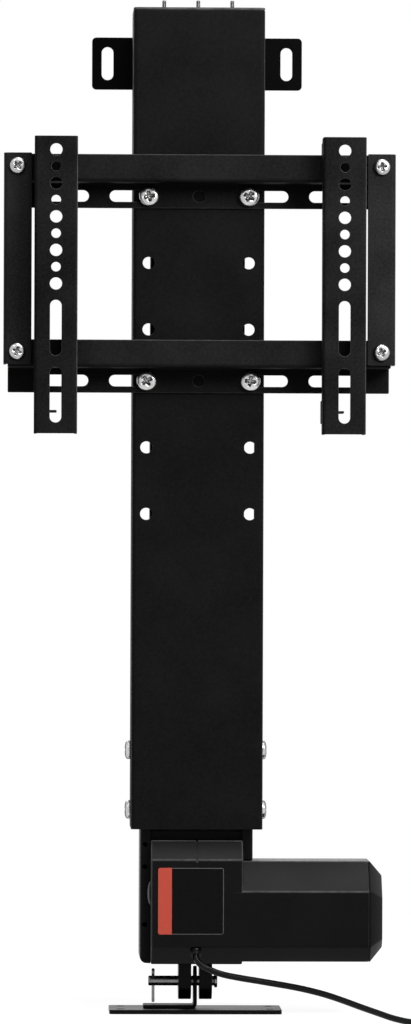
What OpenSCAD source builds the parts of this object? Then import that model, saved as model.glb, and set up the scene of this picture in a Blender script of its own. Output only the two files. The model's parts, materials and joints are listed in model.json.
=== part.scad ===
// Motorised lift for a flat screen: a fixed mast on a hinged foot, a column that telescopes up
// over it on a lead screw, and a rail frame on the column that carries two screen arms.
// Millimetres. X runs to the right along the rails, -Y is the front, Z is up.
// The origin is the middle of the foot plate's underside. The lead screw stands on x = 0, y = 0.

/* [Column] */
// Height from the floor to the top plate with the lift closed
closed_height = 705; // [600:1:1100]
// Width of the moving column
column_w = 92; // [80:1:125]
// Depth of the moving column
column_d = 63; // [56:1:90]
// Sheet thickness of the moving column
column_t = 2; // [1.5:0.1:2.5]
// Outer corner radius of the moving column
column_r = 3; // [2.6:0.1:5]
// Width of the column's two rear lips
column_lip = 4.7; // [3:0.1:8]
// Thickness of the top plate
top_plate_t = 2; // [1.5:0.1:4]
// Diameter of the rail holes in the column's front
column_hole_d = 8.4; // [6:0.1:10]
// Height from one row of rail holes to the next
hole_row_pitch = 46.5; // [30:0.5:60]
// Distance between the two holes of an upper row
upper_hole_spacing = 70; // [60:0.5:71]
// Distance between the two holes of a lower row
lower_hole_spacing = 72.5; // [60:0.5:73]

/* [Mast] */
// Wall of the fixed mast
mast_t = 2; // [1.5:0.1:3]
// Corner radius of the fixed mast
mast_r = 3; // [3:0.1:6]
// Space between the mast's side and the column's inner side
shoe_t = 11; // [9:0.5:14]
// Space between the mast's front and the column's inner front
front_gap = 16; // [13:0.5:24]
// Space between the mast's rear and the column's rear lips
rear_gap = 3; // [2:0.1:6]
// Running clearance of the nylon slides
slide_clear = 0.3; // [0.2:0.05:0.5]
// Height of the two nylon slide blocks
block_h = 58; // [40:1:90]
// Thickness of the mast cap's flange
cap_flange_t = 6.5; // [4:0.5:10]
// Depth of the mast cap's plug inside the mast
cap_plug_h = 15.5; // [8:0.5:17]
// Diameter of the side screws' heads
side_head_d = 13; // [8:0.5:14]

/* [Wall plate] */
// Width of the wall plate
ear_w = 149; // [130:1:190]
// Height of the wall plate
ear_h = 37; // [34:1:45]
// Thickness of the wall plate
ear_t = 3; // [2.5:0.1:5]
// Distance from the lift's top down to the middle of the wall plate
ear_drop = 34.5; // [25:0.5:60]
// Width of the wall plate's slots
ear_slot_w = 8.3; // [6:0.1:10]
// Length of the wall plate's slots
ear_slot_l = 23.5; // [15:0.5:28]
// Distance between the wall plate's slots
ear_slot_spacing = 127; // [118:0.5:134]
// Corner radius of the wall plate
ear_r = 3; // [1:0.5:6]
// Distance that the spacer holds the wall plate off the mast
ear_standoff = 8; // [7:0.5:15]

/* [Rails] */
// Distance from the lift's top down to the upper rail's slots
rail_drop = 132.5; // [100:0.5:180]
// Height from the lower rail's slots to the upper rail's slots
rail_pitch = 129; // [105:0.5:140]
// Sheet thickness of the rails
rail_t = 2; // [1.5:0.1:3]
// Half height of a rail's slotted flange
rail_flange = 8.5; // [7:0.1:12]
// Depth of a rail from the column's front to the front of its lip
rail_depth = 26; // [24:0.5:36]
// Height of a rail's front lip
rail_lip_h = 19.3; // [17:0.1:24]
// Width of the rail slots
slot_w = 8; // [6:0.1:10]
// Length of the rail slots
slot_l = 34; // [20:0.5:36]
// Distance from the middle to the inner slots' middles
inner_slot_x = 45.5; // [42:0.5:46]
// Distance from the middle to the outer slots' middles
outer_slot_x = 94; // [84:0.5:110]
// Diameter of the rail screws
rail_screw_d = 7.8; // [5:0.1:7.9]
// Diameter of the rail screws' heads
rail_head_d = 14; // [11:0.5:15]

/* [Screen arms] */
// Distance between the two arms' rows of screen holes
screen_spacing = 200; // [160:1:300]
// Width of an arm
arm_w = 30; // [26:0.5:40]
// Length of an arm
arm_l = 206; // [204:1:260]
// Depth of an arm's channel
arm_depth = 19.7; // [16:0.1:26]
// Sheet thickness of the arms
arm_t = 2; // [1.5:0.1:3]
// Diameter of the larger screen holes
large_hole_d = 8.5; // [8:0.1:9]
// Diameter of the smaller screen holes
small_hole_d = 6.6; // [5:0.1:7]
// Height from one screen hole to the next
arm_hole_pitch = 11.6; // [10:0.1:13]
// Width of an arm's two long slots
arm_slot_w = 8; // [6:0.1:9]
// Length of an arm's two long slots
arm_slot_l = 38.5; // [30:0.5:39]

/* [Side bars] */
// Width of a side bar's front
bar_w = 19.5; // [15:0.5:26]
// Length of a side bar
bar_l = 147; // [136:1:150]
// Depth of a side bar's outer leg
bar_leg = 18; // [12:0.5:24]
// Gap between a side bar and the arm beside it
bar_gap = 1.8; // [1.5:0.1:6]
// Diameter of the bar screws
bar_screw_d = 5; // [4:0.1:6]
// Diameter of the bar screws' heads
bar_head_d = 11.3; // [8:0.1:12]

/* [Gearbox and motor] */
// Width of the gearbox
box_w = 64; // [58:1:66]
// Height of the gearbox
box_h = 86.5; // [80:0.5:100]
// Distance from the lead screw to the gearbox's front
box_front = 53; // [51:0.5:64]
// Distance from the lead screw to the motor arm's end
arm_x1 = 120; // [110:1:150]
// Diameter of the motor
motor_d = 54; // [44:0.5:56]
// Length of the motor
motor_l = 80; // [60:1:82]
// Length of the faceted end cap
end_cap_l = 9.8; // [6:0.1:14]
// Radius of the housing's long edges
housing_edge_r = 2; // [0.5:0.1:3]
// Sheet thickness of the cradle
cradle_t = 2.5; // [2:0.1:4]

/* [Drive] */
// Diameter of the lead screw
screw_d = 14; // [12:0.5:16]
// Outer diameter of the push tube
push_tube_d = 30; // [27:0.5:32]
// Wall of the push tube
push_tube_t = 2.5; // [1.5:0.1:3]
// Distance from one lid stud to the next
stud_pitch = 24; // [20:0.5:26]
// Diameter of the lid studs
stud_d = 3; // [3:0.5:5]
// Length of the lid studs above the top plate
stud_l = 8; // [5:0.5:20]

/* [Foot] */
// Width of the foot plate
foot_w = 121; // [90:1:160]
// Depth of the foot plate
foot_d = 50; // [45:1:60]
// Thickness of the foot plate
foot_t = 3; // [2:0.1:5]
// Distance between the foot holes across the front
foot_hole_x = 104.6; // [70:0.1:110]
// Distance between the foot holes from front to back
foot_hole_y = 30; // [26:0.5:40]
// Diameter of the foot holes
foot_hole_d = 6; // [4:0.1:8]
// Height of the clevis pin above the floor
pin_height = 22; // [21:0.5:40]
// Diameter of the clevis pin
pin_d = 7; // [5:0.1:9]
// Thickness of each clevis lug
lug_t = 9; // [6:0.5:12]
// Gap between the clevis lugs
lug_gap = 5.7; // [4:0.1:8]
// Sheet thickness of the foot's bent angle
web_t = 2.5; // [2:0.1:3.6]
// Length of the angle's leg on the foot plate
foot_leg_l = 36.5; // [20:0.5:45]

/* [Cord] */
// Diameter of the motor lead
cord_d = 4.5; // [4:0.1:4.6]
// Turns in each of the coil's two layers
coil_turns = 3; // [2:1:3]

/* [Hidden] */
$fn = 48;
eps = 0.01;
past = 1;
fit = 0.05;
running = 0.3;
bend_r = 1;

// Mast and column in plan
mast_w = column_w - 2 * (column_t + shoe_t);
mast_d = column_d - 2 * column_t - front_gap - rear_gap;
mast_in_r = max(mast_r - mast_t, 0.5);
column_in = column_w / 2 - column_t;
front_in_y = -(mast_d / 2 + front_gap);
column_front_y = front_in_y - column_t;
lip_in_y = mast_d / 2 + rear_gap;
column_rear_y = lip_in_y + column_t;
column_mid_y = (column_front_y + column_rear_y) / 2;

// Heights of the fixed stack
box_z0 = pin_height + 14;
box_z1 = box_z0 + box_h;
base_t = 5.5;
mast_z0 = box_z1 + base_t;
mast_z1 = closed_height - 11.5;
cradle_z1 = mast_z0 + 5;
column_z0 = box_z1 + 7.5;
column_z1 = closed_height - top_plate_t;
block_z0 = cradle_z1 + 1;
block_z1 = block_z0 + block_h;
side_screw_r = 2.5;
side_screw_z = [block_z0 + 8.5, block_z1 - 7.5];
side_head_h = 4;
cap_z1 = mast_z1 + cap_flange_t;
stop_gap = 1.5;
stroke = mast_z1 - stop_gap - block_z1;

// Lead screw, nut and push tube
spigot_h = 12;
nut_r = 12;
nut_h = 20;
carrier_z0 = mast_z0 + spigot_h + 5;
carrier_h = 30;
nut_z1 = carrier_z0 + nut_h;
carrier_z1 = carrier_z0 + carrier_h;
end_bush_z0 = nut_z1 + stroke + 7;
end_bush_h = 8;
screw_z1 = end_bush_z0 + end_bush_h + 2;
push_r = push_tube_d / 2;
push_bore_r = push_r - push_tube_t;
head_t = 2.5;
head_z0 = column_z1 - head_t;

// Worm gear, bearings and motor, on the motor's axis along X
wheel_teeth = 30;
gear_module = 1;
wheel_r = wheel_teeth * gear_module / 2;
worm_pitch = PI * gear_module;
worm_mean_r = 5.6;
worm_depth = 1;
worm_l = 16;
worm_pitch_r = 6;
worm_y = -(wheel_r + worm_pitch_r);
motor_z = box_z0 + 36.8;
wheel_w = 7;
wheel_root_r = wheel_r - 1.1;
wheel_tip_r = wheel_r + 1;
tooth_root = 1.75;
tooth_tip = 0.4;
lead_angle = atan(worm_pitch / (2 * PI * worm_pitch_r));
journal_r = screw_d / 2 - 1;
bearing_r = 14;
bearing_h = 8;
bearing_low_z = box_z0 + 14;
bearing_up_z = box_z0 + 52;
wheel_chamber_h = 22;
worm_shaft_r = 3;
worm_bush_r = 6;
worm_bush_x = -25;
worm_bush_l = 6;
worm_chamber_r = 9;
worm_chamber_x1 = 31;
chamber_gap = 1;
motor_x0 = 36;
motor_x1 = motor_x0 + motor_l;
motor_fit = 0.2;
motor_boss_r = 7;
motor_boss_l = 3;
motor_shaft_hole = 11;

// Outer form of the gearbox and the motor arm
box_bevel = 13;
box_back = mast_d / 2;
crease_z = box_z0 + box_bevel;
box_bevel_z = box_z1 - box_bevel;
arm_z0 = motor_z - 34.8;
arm_z1 = motor_z + 35.2;
arm_bevel_h = 20.5;
arm_bevel_d = 18;
arm_bottom_bevel = crease_z - arm_z0;
arm_back = worm_y + motor_d / 2 + 3;
corner_steps = 5;
housing_screw_r = 1.5;
housing_head_r = 3;
housing_head_h = 3;
housing_thread_l = 9;
thread_spare = 0.5;
box_screw_x = box_w / 2 - 4;
box_screws = [for (x = [-1, 1], z = [box_z0 + 5, box_z1 - 4.5]) [x * box_screw_x, z, box_back]];
motor_screws = [for (z = [arm_z0 + 3.4, arm_z1 - 3.7]) [arm_x1 - 8, z, arm_back]];
housing_screw_places = concat(box_screws, motor_screws);

// Cradle round the gearbox
cradle_in = mast_w / 2 + 4;
cradle_out = cradle_in + cradle_t;
cradle_front_y = -(mast_d / 2 + 10);
cradle_cut_z = arm_z1 + 0.5;
cradle_corner_r = 5;
cradle_screw_r = 2;
cradle_screw_head_r = 4;
cradle_head_h = 2.4;
cradle_thread_l = 6.5;
cradle_screw_x = 24;
cradle_screw_z = [box_z0 + 27, box_z1 - 18];
lip_hole_r = 1.6;
lip_hole_z = [box_z0 + 27, box_z1 - 19, box_z1 - 3.5];
base_screw_x = 20;
base_screw_z = box_z1 + base_t / 2;
base_thread_l = 11;
base_head_h = 2;

// Foot and clevis
foot_corner_r = 3;
pin_z = pin_height;
pin_clear = 0.05;
lug_r = 13;
lug_x = lug_gap / 2 + lug_t;
web_r = 10.5;
clevis_seat_h = 4;
clevis_shank_r = 9;
clevis_shank_h = 6;
pin_x0 = -(lug_x + 21);
pin_head_x = lug_x + 1.8;
pin_head_r = 4.8;
pin_head_l = 2.1;
cotter_x = pin_x0 + 3.4;
cotter_r = 1.05;
cotter_hole_r = 1.25;
cotter_eye_r = 1.5;
cotter_seat = 1.1;
cotter_leg_l = 15;

// Wall plate
ear_z = closed_height - ear_drop;
ear_y0 = mast_d / 2 + ear_standoff;
ear_y1 = ear_y0 + ear_t;
spacer_w = 40;
wall_screw_x = 12;
wall_screw_r = 2.5;
wall_screw_head_r = 5;

// Rail frame
rail_z = [closed_height - rail_drop, closed_height - rail_drop - rail_pitch];
rail_front_y = column_front_y - rail_depth;
rail_back_y = column_front_y - rail_t;
lip_z = rail_flange + rail_lip_h;
bar_in = screen_spacing / 2 + arm_w / 2 + bar_gap;
bar_out = bar_in + bar_w;
bar_t = 2;
bar_mid = (bar_in + bar_out) / 2;
bar_front_y = rail_front_y - bar_t;
bar_z1 = rail_z[0] + lip_z + 0.7;
bar_screw_z = rail_flange + rail_lip_h / 2 + 1.3;
rail_half = bar_out - bar_t - bend_r;
rail_spacing = [upper_hole_spacing, lower_hole_spacing];
rail_head_h = 5;
rail_nut_w = 13;
rail_nut_h = 6.5;
bar_nut_w = 8;
bar_nut_h = 4;
bar_head_h = 3.6;
screw_proud = 1.2;

// Screen arms, which hook over the upper rail's lip and are locked under the lower rail
hook_clear = 0.3;
arm_back_y = rail_front_y - hook_clear;
arm_front_y = arm_back_y - arm_depth;
hook_z0 = rail_z[0] + lip_z + hook_clear;
hook_h = 8.4;
arm_z_top = hook_z0 + 11;
arm_z_low = arm_z_top - arm_l;
tongue_y0 = rail_front_y + rail_t + hook_clear;
tongue_d = 9.7;
tongue_h = 14.6;
arm_hole_count = 9;
arm_hole_top = 9.5;
arm_slot_tops = [113.6, 160];
tab_t = 1.6;
tab_z = rail_z[1] - 22;
tab_h = 16;
tab_x1 = 0.9;
tab_y1 = rail_front_y + 18;
lock_x = -8;
lock_y = rail_front_y + 10;
lock_r = 2.5;
lock_head_r = 5;
lock_head_h = 4;
lock_z0 = arm_z_low + 2.5;
lock_z1 = rail_z[1] + rail_flange - 0.5;

// Motor lead, its strain relief, coil, tie and connector
cord_r = cord_d / 2;
relief_x = -0.7;
relief_rise = 3;
relief_root = 4;
relief_l = 3 * sqrt(2);
relief_r = [3.6, 3];
relief_rib_r = 3.9;
cord_points = [
    [-0.7, -52.5, 42.5], [-0.4, -54.5, 40.5], [0.9, -56.6, 38.4], [2.7, -58.3, 36.7], [5.2, -59.7, 35.3],
    [8.8, -61.3, 33.6], [13.4, -63, 31.8], [19, -64.8, 30.2], [25.5, -66.7, 29], [33, -68.9, 27.8],
    [41.5, -71.5, 26.6], [51, -74.8, 25.2], [62, -79, 23.6], [74, -85.5, 21.6], [87, -94, 18.8],
    [99, -104, 15.4], [111, -115.5, 11.6], [122, -127, 8.4], [132, -138, 5.6], [142, -147.5, 3.9],
    [152, -155, 3.3], [163, -160.5, 3.3], [174, -164, 3.3], [180, -165, 3.3], [185.5, -165, 3.3]
];
cord_sides = 10;
cord_steps = 3;
tie_t = 0.9;
tie_w = 5;
coil_r = 31;
coil_step = 5.2;
coil_layer = 5.1;
coil_rings = 24;
coil_sides = 6;
coil_z = 3.3;
coil_tail = 30;
coil_mid = [190, -134];
plug_r = 8;
plug_l = 26;

echo(stroke = stroke);

// Shared shapes

module rod_x(r, x0, x1, y = 0, z = 0) {
    translate([x0, y, z]) rotate([0, 90, 0]) cylinder(r = r, h = x1 - x0);
}

module rod_y(r, y0, y1, x = 0, z = 0) {
    translate([x, y0, z]) rotate([-90, 0, 0]) cylinder(r = r, h = y1 - y0);
}

module rod_z(r, z0, z1, x = 0, y = 0) {
    translate([x, y, z0]) cylinder(r = r, h = z1 - z0);
}

module brick(x, y, z) {
    translate([x[0], y[0], z[0]]) cube([x[1] - x[0], y[1] - y[0], z[1] - z[0]]);
}

module rounded_rect(w, d, r) {
    square([w, d - 2 * r], center = true);
    square([w - 2 * r, d], center = true);
    for (x = [-1, 1], y = [-1, 1]) translate([x * (w / 2 - r), y * (d / 2 - r)]) circle(r);
}

// A profile drawn as (y, z) and drawn out along X
module along_x(x0, x1) {
    translate([x0, 0, 0]) rotate([90, 0, 90]) linear_extrude(x1 - x0) children();
}

// Quarter of a sheet's bend about a centre, from its +X side round to its +Y side
module bend(centre, turn, t) {
    translate(centre) rotate(turn) intersection() {
        difference() {
            circle(bend_r + t);
            circle(bend_r);
        }
        square(bend_r + t);
    }
}

// Slots cut from front to back
module flat_slot(x, z, w, l, y) {
    brick([x - (l - w) / 2, x + (l - w) / 2], y, [z - w / 2, z + w / 2]);
    for (s = [-1, 1]) rod_y(w / 2, y[0], y[1], x + s * (l - w) / 2, z);
}

module tall_slot(x, z, w, l, y) {
    brick([x - w / 2, x + w / 2], y, [z - (l - w) / 2, z + (l - w) / 2]);
    for (s = [-1, 1]) rod_y(w / 2, y[0], y[1], x, z + s * (l - w) / 2);
}

// Pan-head screw along -Z, its head standing on z = 0
module pan_screw(head_d, head_h, shank_d, shank_l) {
    translate([0, 0, -shank_l]) cylinder(d = shank_d, h = shank_l);
    cylinder(d = head_d, h = head_h * 0.45);
    translate([0, 0, head_h * 0.45]) cylinder(d1 = head_d, d2 = head_d * 0.62, h = head_h * 0.55);
}

// Closed skin over a row of rings that have as many points each
module skin(points, sides) {
    n = len(points) / sides;
    walls = [for (i = [0 : n - 2], k = [0 : sides - 1])
        let (a = i * sides + k, b = i * sides + (k + 1) % sides)
        each [[a, b, a + sides], [b, b + sides, a + sides]]];
    start = [for (k = [1 : sides - 2]) [0, k + 1, k]];
    end = [for (k = [1 : sides - 2]) (n - 1) * sides * [1, 1, 1] + [0, k, k + 1]];
    polyhedron(points, concat(walls, start, end));
}

module hex_nut_y(w, y0, y1, bore_r, x, z) {
    difference() {
        translate([x, y0, z]) rotate([-90, 30, 0]) cylinder(d = w / cos(30), h = y1 - y0, $fn = 6);
        rod_y(bore_r, y0 - past, y1 + past, x, z);
    }
}

// Foot

module foot_plate() {
    color("#2b2b2d") difference() {
        linear_extrude(foot_t) rounded_rect(foot_w, foot_d, foot_corner_r);
        for (x = [-1, 1], y = [-1, 1])
            rod_z(foot_hole_d / 2, -past, foot_t + past, x * foot_hole_x / 2, y * foot_hole_y / 2);
    }
}

// Bent angle on the foot plate: an upright web for the pin and a leg to the left
module foot_lug() {
    bend_at = [-web_t / 2 - bend_r, foot_t + web_t + bend_r];
    color("#262628") {
        along_x(-web_t / 2, web_t / 2) difference() {
            union() {
                translate([0, pin_z]) circle(web_r);
                translate([-web_r, bend_at[1]]) square([2 * web_r, pin_z - bend_at[1]]);
            }
            translate([0, pin_z]) circle(pin_d / 2 + pin_clear);
        }
        translate([0, web_r, 0]) rotate([90, 0, 0]) linear_extrude(2 * web_r) {
            bend(bend_at, -90, web_t);
            translate([-foot_leg_l, foot_t]) square([foot_leg_l + bend_at[0], web_t]);
        }
    }
}

module clevis_pin() {
    color("silver") difference() {
        union() {
            rod_x(pin_d / 2, pin_x0, pin_head_x, 0, pin_z);
            rod_x(pin_head_r, pin_head_x, pin_head_x + pin_head_l, 0, pin_z);
        }
        rod_z(cotter_hole_r, pin_z - pin_d, pin_z + pin_d, cotter_x);
    }
}

// Split pin with its eye above the clevis pin, turned edge-on to the front
module cotter_pin() {
    eye_low = pin_z + pin_d / 2 + cotter_seat;
    color("silver") translate([cotter_x, 0, 0]) {
        rod_z(cotter_r, pin_z - cotter_leg_l, eye_low);
        translate([0, 0, eye_low + cotter_eye_r]) rotate([0, 90, 0])
            rotate_extrude() translate([cotter_eye_r, 0]) circle(cotter_r, $fn = 16);
    }
}

// Two full-round lugs on a seat that the gearbox holds
module rear_clevis() {
    color("#1d1d1f") {
        for (s = [-1, 1])
            along_x(s > 0 ? lug_gap / 2 : -lug_x, s > 0 ? lug_x : -lug_gap / 2) difference() {
                union() {
                    translate([0, pin_z]) circle(lug_r);
                    translate([-lug_r, pin_z]) square([2 * lug_r, box_z0 - pin_z + eps]);
                }
                translate([0, pin_z]) circle(pin_d / 2 + pin_clear);
            }
        brick([-lug_x, lug_x], [-lug_r, lug_r], [box_z0, box_z0 + clevis_seat_h]);
        rod_z(clevis_shank_r, box_z0 + clevis_seat_h - eps, box_z0 + clevis_seat_h + clevis_shank_h);
    }
}

// Cradle and gearbox

// C-channel that ties the gearbox to the mast, cut away on the right for the motor
module cradle() {
    web_y = [box_back, box_back + cradle_t];
    lip_y = cradle_front_y + cradle_t;
    bend_x = cradle_in - bend_r;
    color("#222224") difference() {
        translate([0, 0, box_z0]) linear_extrude(cradle_z1 - box_z0) {
            translate([-bend_x, web_y[0]]) square([2 * bend_x, cradle_t]);
            for (s = [0, 1]) mirror([s, 0]) {
                translate([cradle_in, lip_y + bend_r]) square([cradle_t, web_y[0] - lip_y - 2 * bend_r]);
                translate([box_w / 2, cradle_front_y]) square([bend_x - box_w / 2, cradle_t]);
                bend([bend_x, web_y[0] - bend_r], 0, cradle_t);
                bend([bend_x, lip_y + bend_r], -90, cradle_t);
            }
        }
        brick([box_w / 2 - past, cradle_out + past], [cradle_front_y - past, web_y[0]], [0, cradle_cut_z]);
        difference() {
            brick([-cradle_out - past, cradle_corner_r - cradle_out],
                [cradle_front_y - past, web_y[1] + past], [box_z0 - past, box_z0 + cradle_corner_r]);
            rod_y(cradle_corner_r, cradle_front_y - 2 * past, web_y[1] + 2 * past,
                cradle_corner_r - cradle_out, box_z0 + cradle_corner_r);
        }
        for (z = lip_hole_z)
            rod_y(lip_hole_r, cradle_front_y - past, lip_y + past, -(box_w / 2 + cradle_out) / 2, z);
        for (x = [-1, 1], z = cradle_screw_z)
            rod_y(cradle_screw_r + fit, web_y[0] - past, web_y[1] + past, x * cradle_screw_x, z);
        for (x = [-1, 1])
            rod_y(housing_screw_r + fit, web_y[0] - past, web_y[1] + past, x * base_screw_x, base_screw_z);
    }
}

module cradle_screws() {
    color("silver") for (x = [-1, 1], z = cradle_screw_z)
        translate([x * cradle_screw_x, box_back + cradle_t, z]) rotate([-90, 0, 0])
            pan_screw(2 * cradle_screw_head_r, cradle_head_h, 2 * cradle_screw_r, cradle_t + cradle_thread_l);
}

// Points of an arc that rounds the corner at b
function corner_arc(a, b, c, r) =
    let (
        to_a = unit(a - b),
        to_c = unit(c - b),
        half = acos(to_a * to_c) / 2,
        centre = b + unit(to_a + to_c) * r / sin(half),
        first = b + to_a * r / tan(half) - centre,
        last = b + to_c * r / tan(half) - centre
    )
    [for (k = [0 : corner_steps]) centre + r * unit(first + (last - first) * k / corner_steps)];

function round_corners(p, r) =
    [for (i = [0 : len(p) - 1])
        each corner_arc(p[(i + len(p) - 1) % len(p)], p[i], p[(i + 1) % len(p)], r)];

module box_profile() {
    polygon(round_corners([
        [box_back, box_z0], [box_bevel - box_front, box_z0], [-box_front, crease_z],
        [-box_front, box_bevel_z], [box_bevel - box_front, box_z1], [box_back, box_z1]
    ], housing_edge_r));
}

module motor_profile(inset = 0) {
    polygon(round_corners([
        [arm_back - inset, arm_z0 + inset], [arm_bottom_bevel - box_front + inset / 2, arm_z0 + inset],
        [inset - box_front, crease_z + inset / 2], [inset - box_front, arm_z1 - arm_bevel_h - inset / 2],
        [arm_bevel_d - box_front + inset / 2, arm_z1 - inset], [arm_back - inset, arm_z1 - inset]
    ], housing_edge_r));
}

module housing_solid() {
    along_x(-box_w / 2, box_w / 2) box_profile();
    along_x(box_w / 2 - eps, arm_x1) motor_profile();
}

// Seats for the motor, worm, wheel, bearings, lead screw, clevis and cord
module housing_hollow() {
    rod_x(motor_d / 2 + motor_fit, motor_x0 - motor_fit, arm_x1 + past, worm_y, motor_z);
    rod_x(worm_shaft_r + chamber_gap, 0, motor_x0, worm_y, motor_z);
    rod_x(worm_chamber_r, worm_bush_x + worm_bush_l, worm_chamber_x1, worm_y, motor_z);
    rod_x(worm_bush_r + fit, worm_bush_x, 0, worm_y, motor_z);
    rod_z(wheel_tip_r + 2 * chamber_gap, motor_z - wheel_chamber_h / 2, motor_z + wheel_chamber_h / 2);
    for (z = [bearing_low_z, bearing_up_z]) rod_z(bearing_r + fit, z, z + bearing_h);
    rod_z(clevis_shank_r + fit, box_z0 - past, box_z1 + past);
    brick([-lug_x - fit, lug_x + fit], [-lug_r - fit, lug_r + fit], [box_z0 - past, box_z0 + clevis_seat_h]);
    for (p = housing_screw_places) {
        rod_y(housing_screw_r + fit, worm_y - housing_thread_l, p[2] + past, p[0], p[1]);
        rod_y(housing_head_r + fit, p[2] - housing_head_h, p[2] + past, p[0], p[1]);
    }
    for (x = [-1, 1], z = cradle_screw_z)
        rod_y(cradle_screw_r + fit, box_back - cradle_thread_l - thread_spare, box_back + past,
            x * cradle_screw_x, z);
}

module housing_rear() {
    color("#1a1a1b") difference() {
        intersection() {
            housing_solid();
            brick([-box_w, 2 * arm_x1], [worm_y, box_back + past], [0, box_z1 + past]);
        }
        housing_hollow();
    }
}

module housing_front() {
    groove_w = 1.4;
    bump_h = 2.4;
    bump_room = [4 - box_front, cradle_front_y - 1.6];
    bump_r = (bump_room[1] - bump_room[0]) / 2;
    bump_y = (bump_room[0] + bump_room[1]) / 2;
    bump_z = motor_z + 13;
    color("#1a1a1b") difference() {
        union() {
            intersection() {
                housing_solid();
                brick([-box_w, 2 * arm_x1], [-box_front - past, worm_y], [0, box_z1 + past]);
            }
            rod_x(bump_r, -box_w / 2 - bump_h, past - box_w / 2, bump_y, bump_z);
        }
        housing_hollow();
        brick([-groove_w / 2, groove_w / 2], [-box_front - past, box_bevel - box_front],
            [box_z1 - box_bevel / 2, box_z1 + past]);
        relief_place() cylinder(r = relief_r[0], h = 2 * relief_root, center = true);
    }
}

module housing_screws() {
    color("silver") for (p = housing_screw_places) {
        rod_y(housing_head_r, p[2] - housing_head_h, p[2], p[0], p[1]);
        rod_y(housing_screw_r, worm_y - housing_thread_l + thread_spare, p[2], p[0], p[1]);
    }
}

module motor_can() {
    color("dimgray") difference() {
        union() {
            rod_x(motor_d / 2, motor_x0, motor_x1, worm_y, motor_z);
            rod_x(motor_boss_r, motor_x1 - eps, motor_x1 + motor_boss_l, worm_y, motor_z);
        }
        rod_x(worm_shaft_r + running, motor_x0 - past, motor_x0 + motor_shaft_hole, worm_y, motor_z);
    }
}

// Closing cap with its corners cut off
module motor_end_cap() {
    taper = 10;
    rim = 1.2;
    spigot_x = arm_x1 - 3;
    color("#19191a") {
        hull() {
            along_x(arm_x1, arm_x1 + rim) motor_profile();
            along_x(arm_x1 + rim / 2, arm_x1 + end_cap_l) motor_profile(taper);
        }
        difference() {
            rod_x(motor_d / 2 - 2, spigot_x, arm_x1 + eps, worm_y, motor_z);
            rod_x(motor_boss_r + fit, spigot_x - past, arm_x1 + past, worm_y, motor_z);
        }
    }
}

// Single-start worm: a disc set off its axis and turned as it is drawn out
module worm() {
    sides = 10;
    rings = round(12 * worm_l / worm_pitch);
    thread = [for (i = [0 : rings], k = [0 : sides - 1])
        let (x = worm_l * (i / rings - 0.5), turn = 90 + 360 * x / worm_pitch, a = 360 * k / sides)
        [worm_depth * cos(turn) + worm_mean_r * cos(a), worm_depth * sin(turn) - worm_mean_r * sin(a), x]];
    color("goldenrod") translate([0, worm_y, motor_z]) rotate([0, 90, 0]) {
        skin(thread, sides);
        rod_z(worm_shaft_r, worm_bush_x + past, past - worm_l / 2);
        rod_z(worm_shaft_r, worm_l / 2 - past, motor_x0 + motor_shaft_hole - past);
    }
}

module worm_bush() {
    color("peru") difference() {
        rod_x(worm_bush_r, worm_bush_x, worm_bush_x + worm_bush_l, worm_y, motor_z);
        rod_x(worm_shaft_r + running, worm_bush_x - past, worm_bush_x + worm_bush_l + past, worm_y, motor_z);
    }
}

// Wheel whose teeth lean with the worm's thread
module worm_wheel() {
    lean = asin(wheel_w * tan(lead_angle) / wheel_r);
    tooth_foot_r = wheel_root_r - 0.5;
    hub_r = journal_r + 3.5;
    hub_h = wheel_chamber_h - 2 * chamber_gap;
    color("ivory") difference() {
        union() {
            translate([0, 0, motor_z - wheel_w / 2])
                linear_extrude(wheel_w, twist = lean, slices = 2) rotate(lean / 2) {
                    circle(wheel_root_r, $fn = 2 * wheel_teeth);
                    for (i = [0 : wheel_teeth - 1]) rotate((i + 0.5) * 360 / wheel_teeth - 90)
                        polygon([
                            [tooth_foot_r, -tooth_root / 2], [wheel_tip_r, -tooth_tip / 2],
                            [wheel_tip_r, tooth_tip / 2], [tooth_foot_r, tooth_root / 2]
                        ]);
                }
            rod_z(hub_r, motor_z - hub_h / 2, motor_z + hub_h / 2);
        }
        rod_z(journal_r + fit, motor_z - wheel_chamber_h, motor_z + wheel_chamber_h);
    }
}

// Lead screw as the envelope of its thread, with journals for the bearings
module lead_screw() {
    shoulder_z = bearing_up_z + bearing_h + 2;
    chamfer = 1.5;
    color("lightsteelblue") {
        rod_z(journal_r, box_z0 + clevis_seat_h + clevis_shank_h + chamber_gap, shoulder_z + eps);
        rod_z(screw_d / 2, shoulder_z, screw_z1 - chamfer);
        translate([0, 0, screw_z1 - chamfer - eps])
            cylinder(d1 = screw_d, d2 = screw_d - 2 * chamfer, h = chamfer);
    }
}

// Ball bearing, its shields sunk between the two rings
module bearing(z) {
    ring_t = 2.5;
    sink = 0.5;
    color("gainsboro") difference() {
        rod_z(bearing_r, z, z + bearing_h);
        rod_z(journal_r + running, z - past, z + bearing_h + past);
        for (f = [z - sink, z + bearing_h - sink]) difference() {
            rod_z(bearing_r - ring_t, f, f + 2 * sink);
            rod_z(journal_r + ring_t, f - past, f + 2 * sink + past);
        }
    }
}

module bearing_lower() { bearing(bearing_low_z); }

module bearing_upper() { bearing(bearing_up_z); }

module screw_end_bush() {
    color("white") difference() {
        rod_z(push_bore_r - running, end_bush_z0, end_bush_z0 + end_bush_h);
        rod_z(screw_d / 2 + fit, end_bush_z0 - past, end_bush_z0 + end_bush_h + past);
    }
}

// Mast

module mast_plug(z) {
    inset = 2 * (mast_t + fit);
    translate([0, 0, z[0]]) linear_extrude(z[1] - z[0])
        rounded_rect(mast_w - inset, mast_d - inset, mast_in_r);
}

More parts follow.
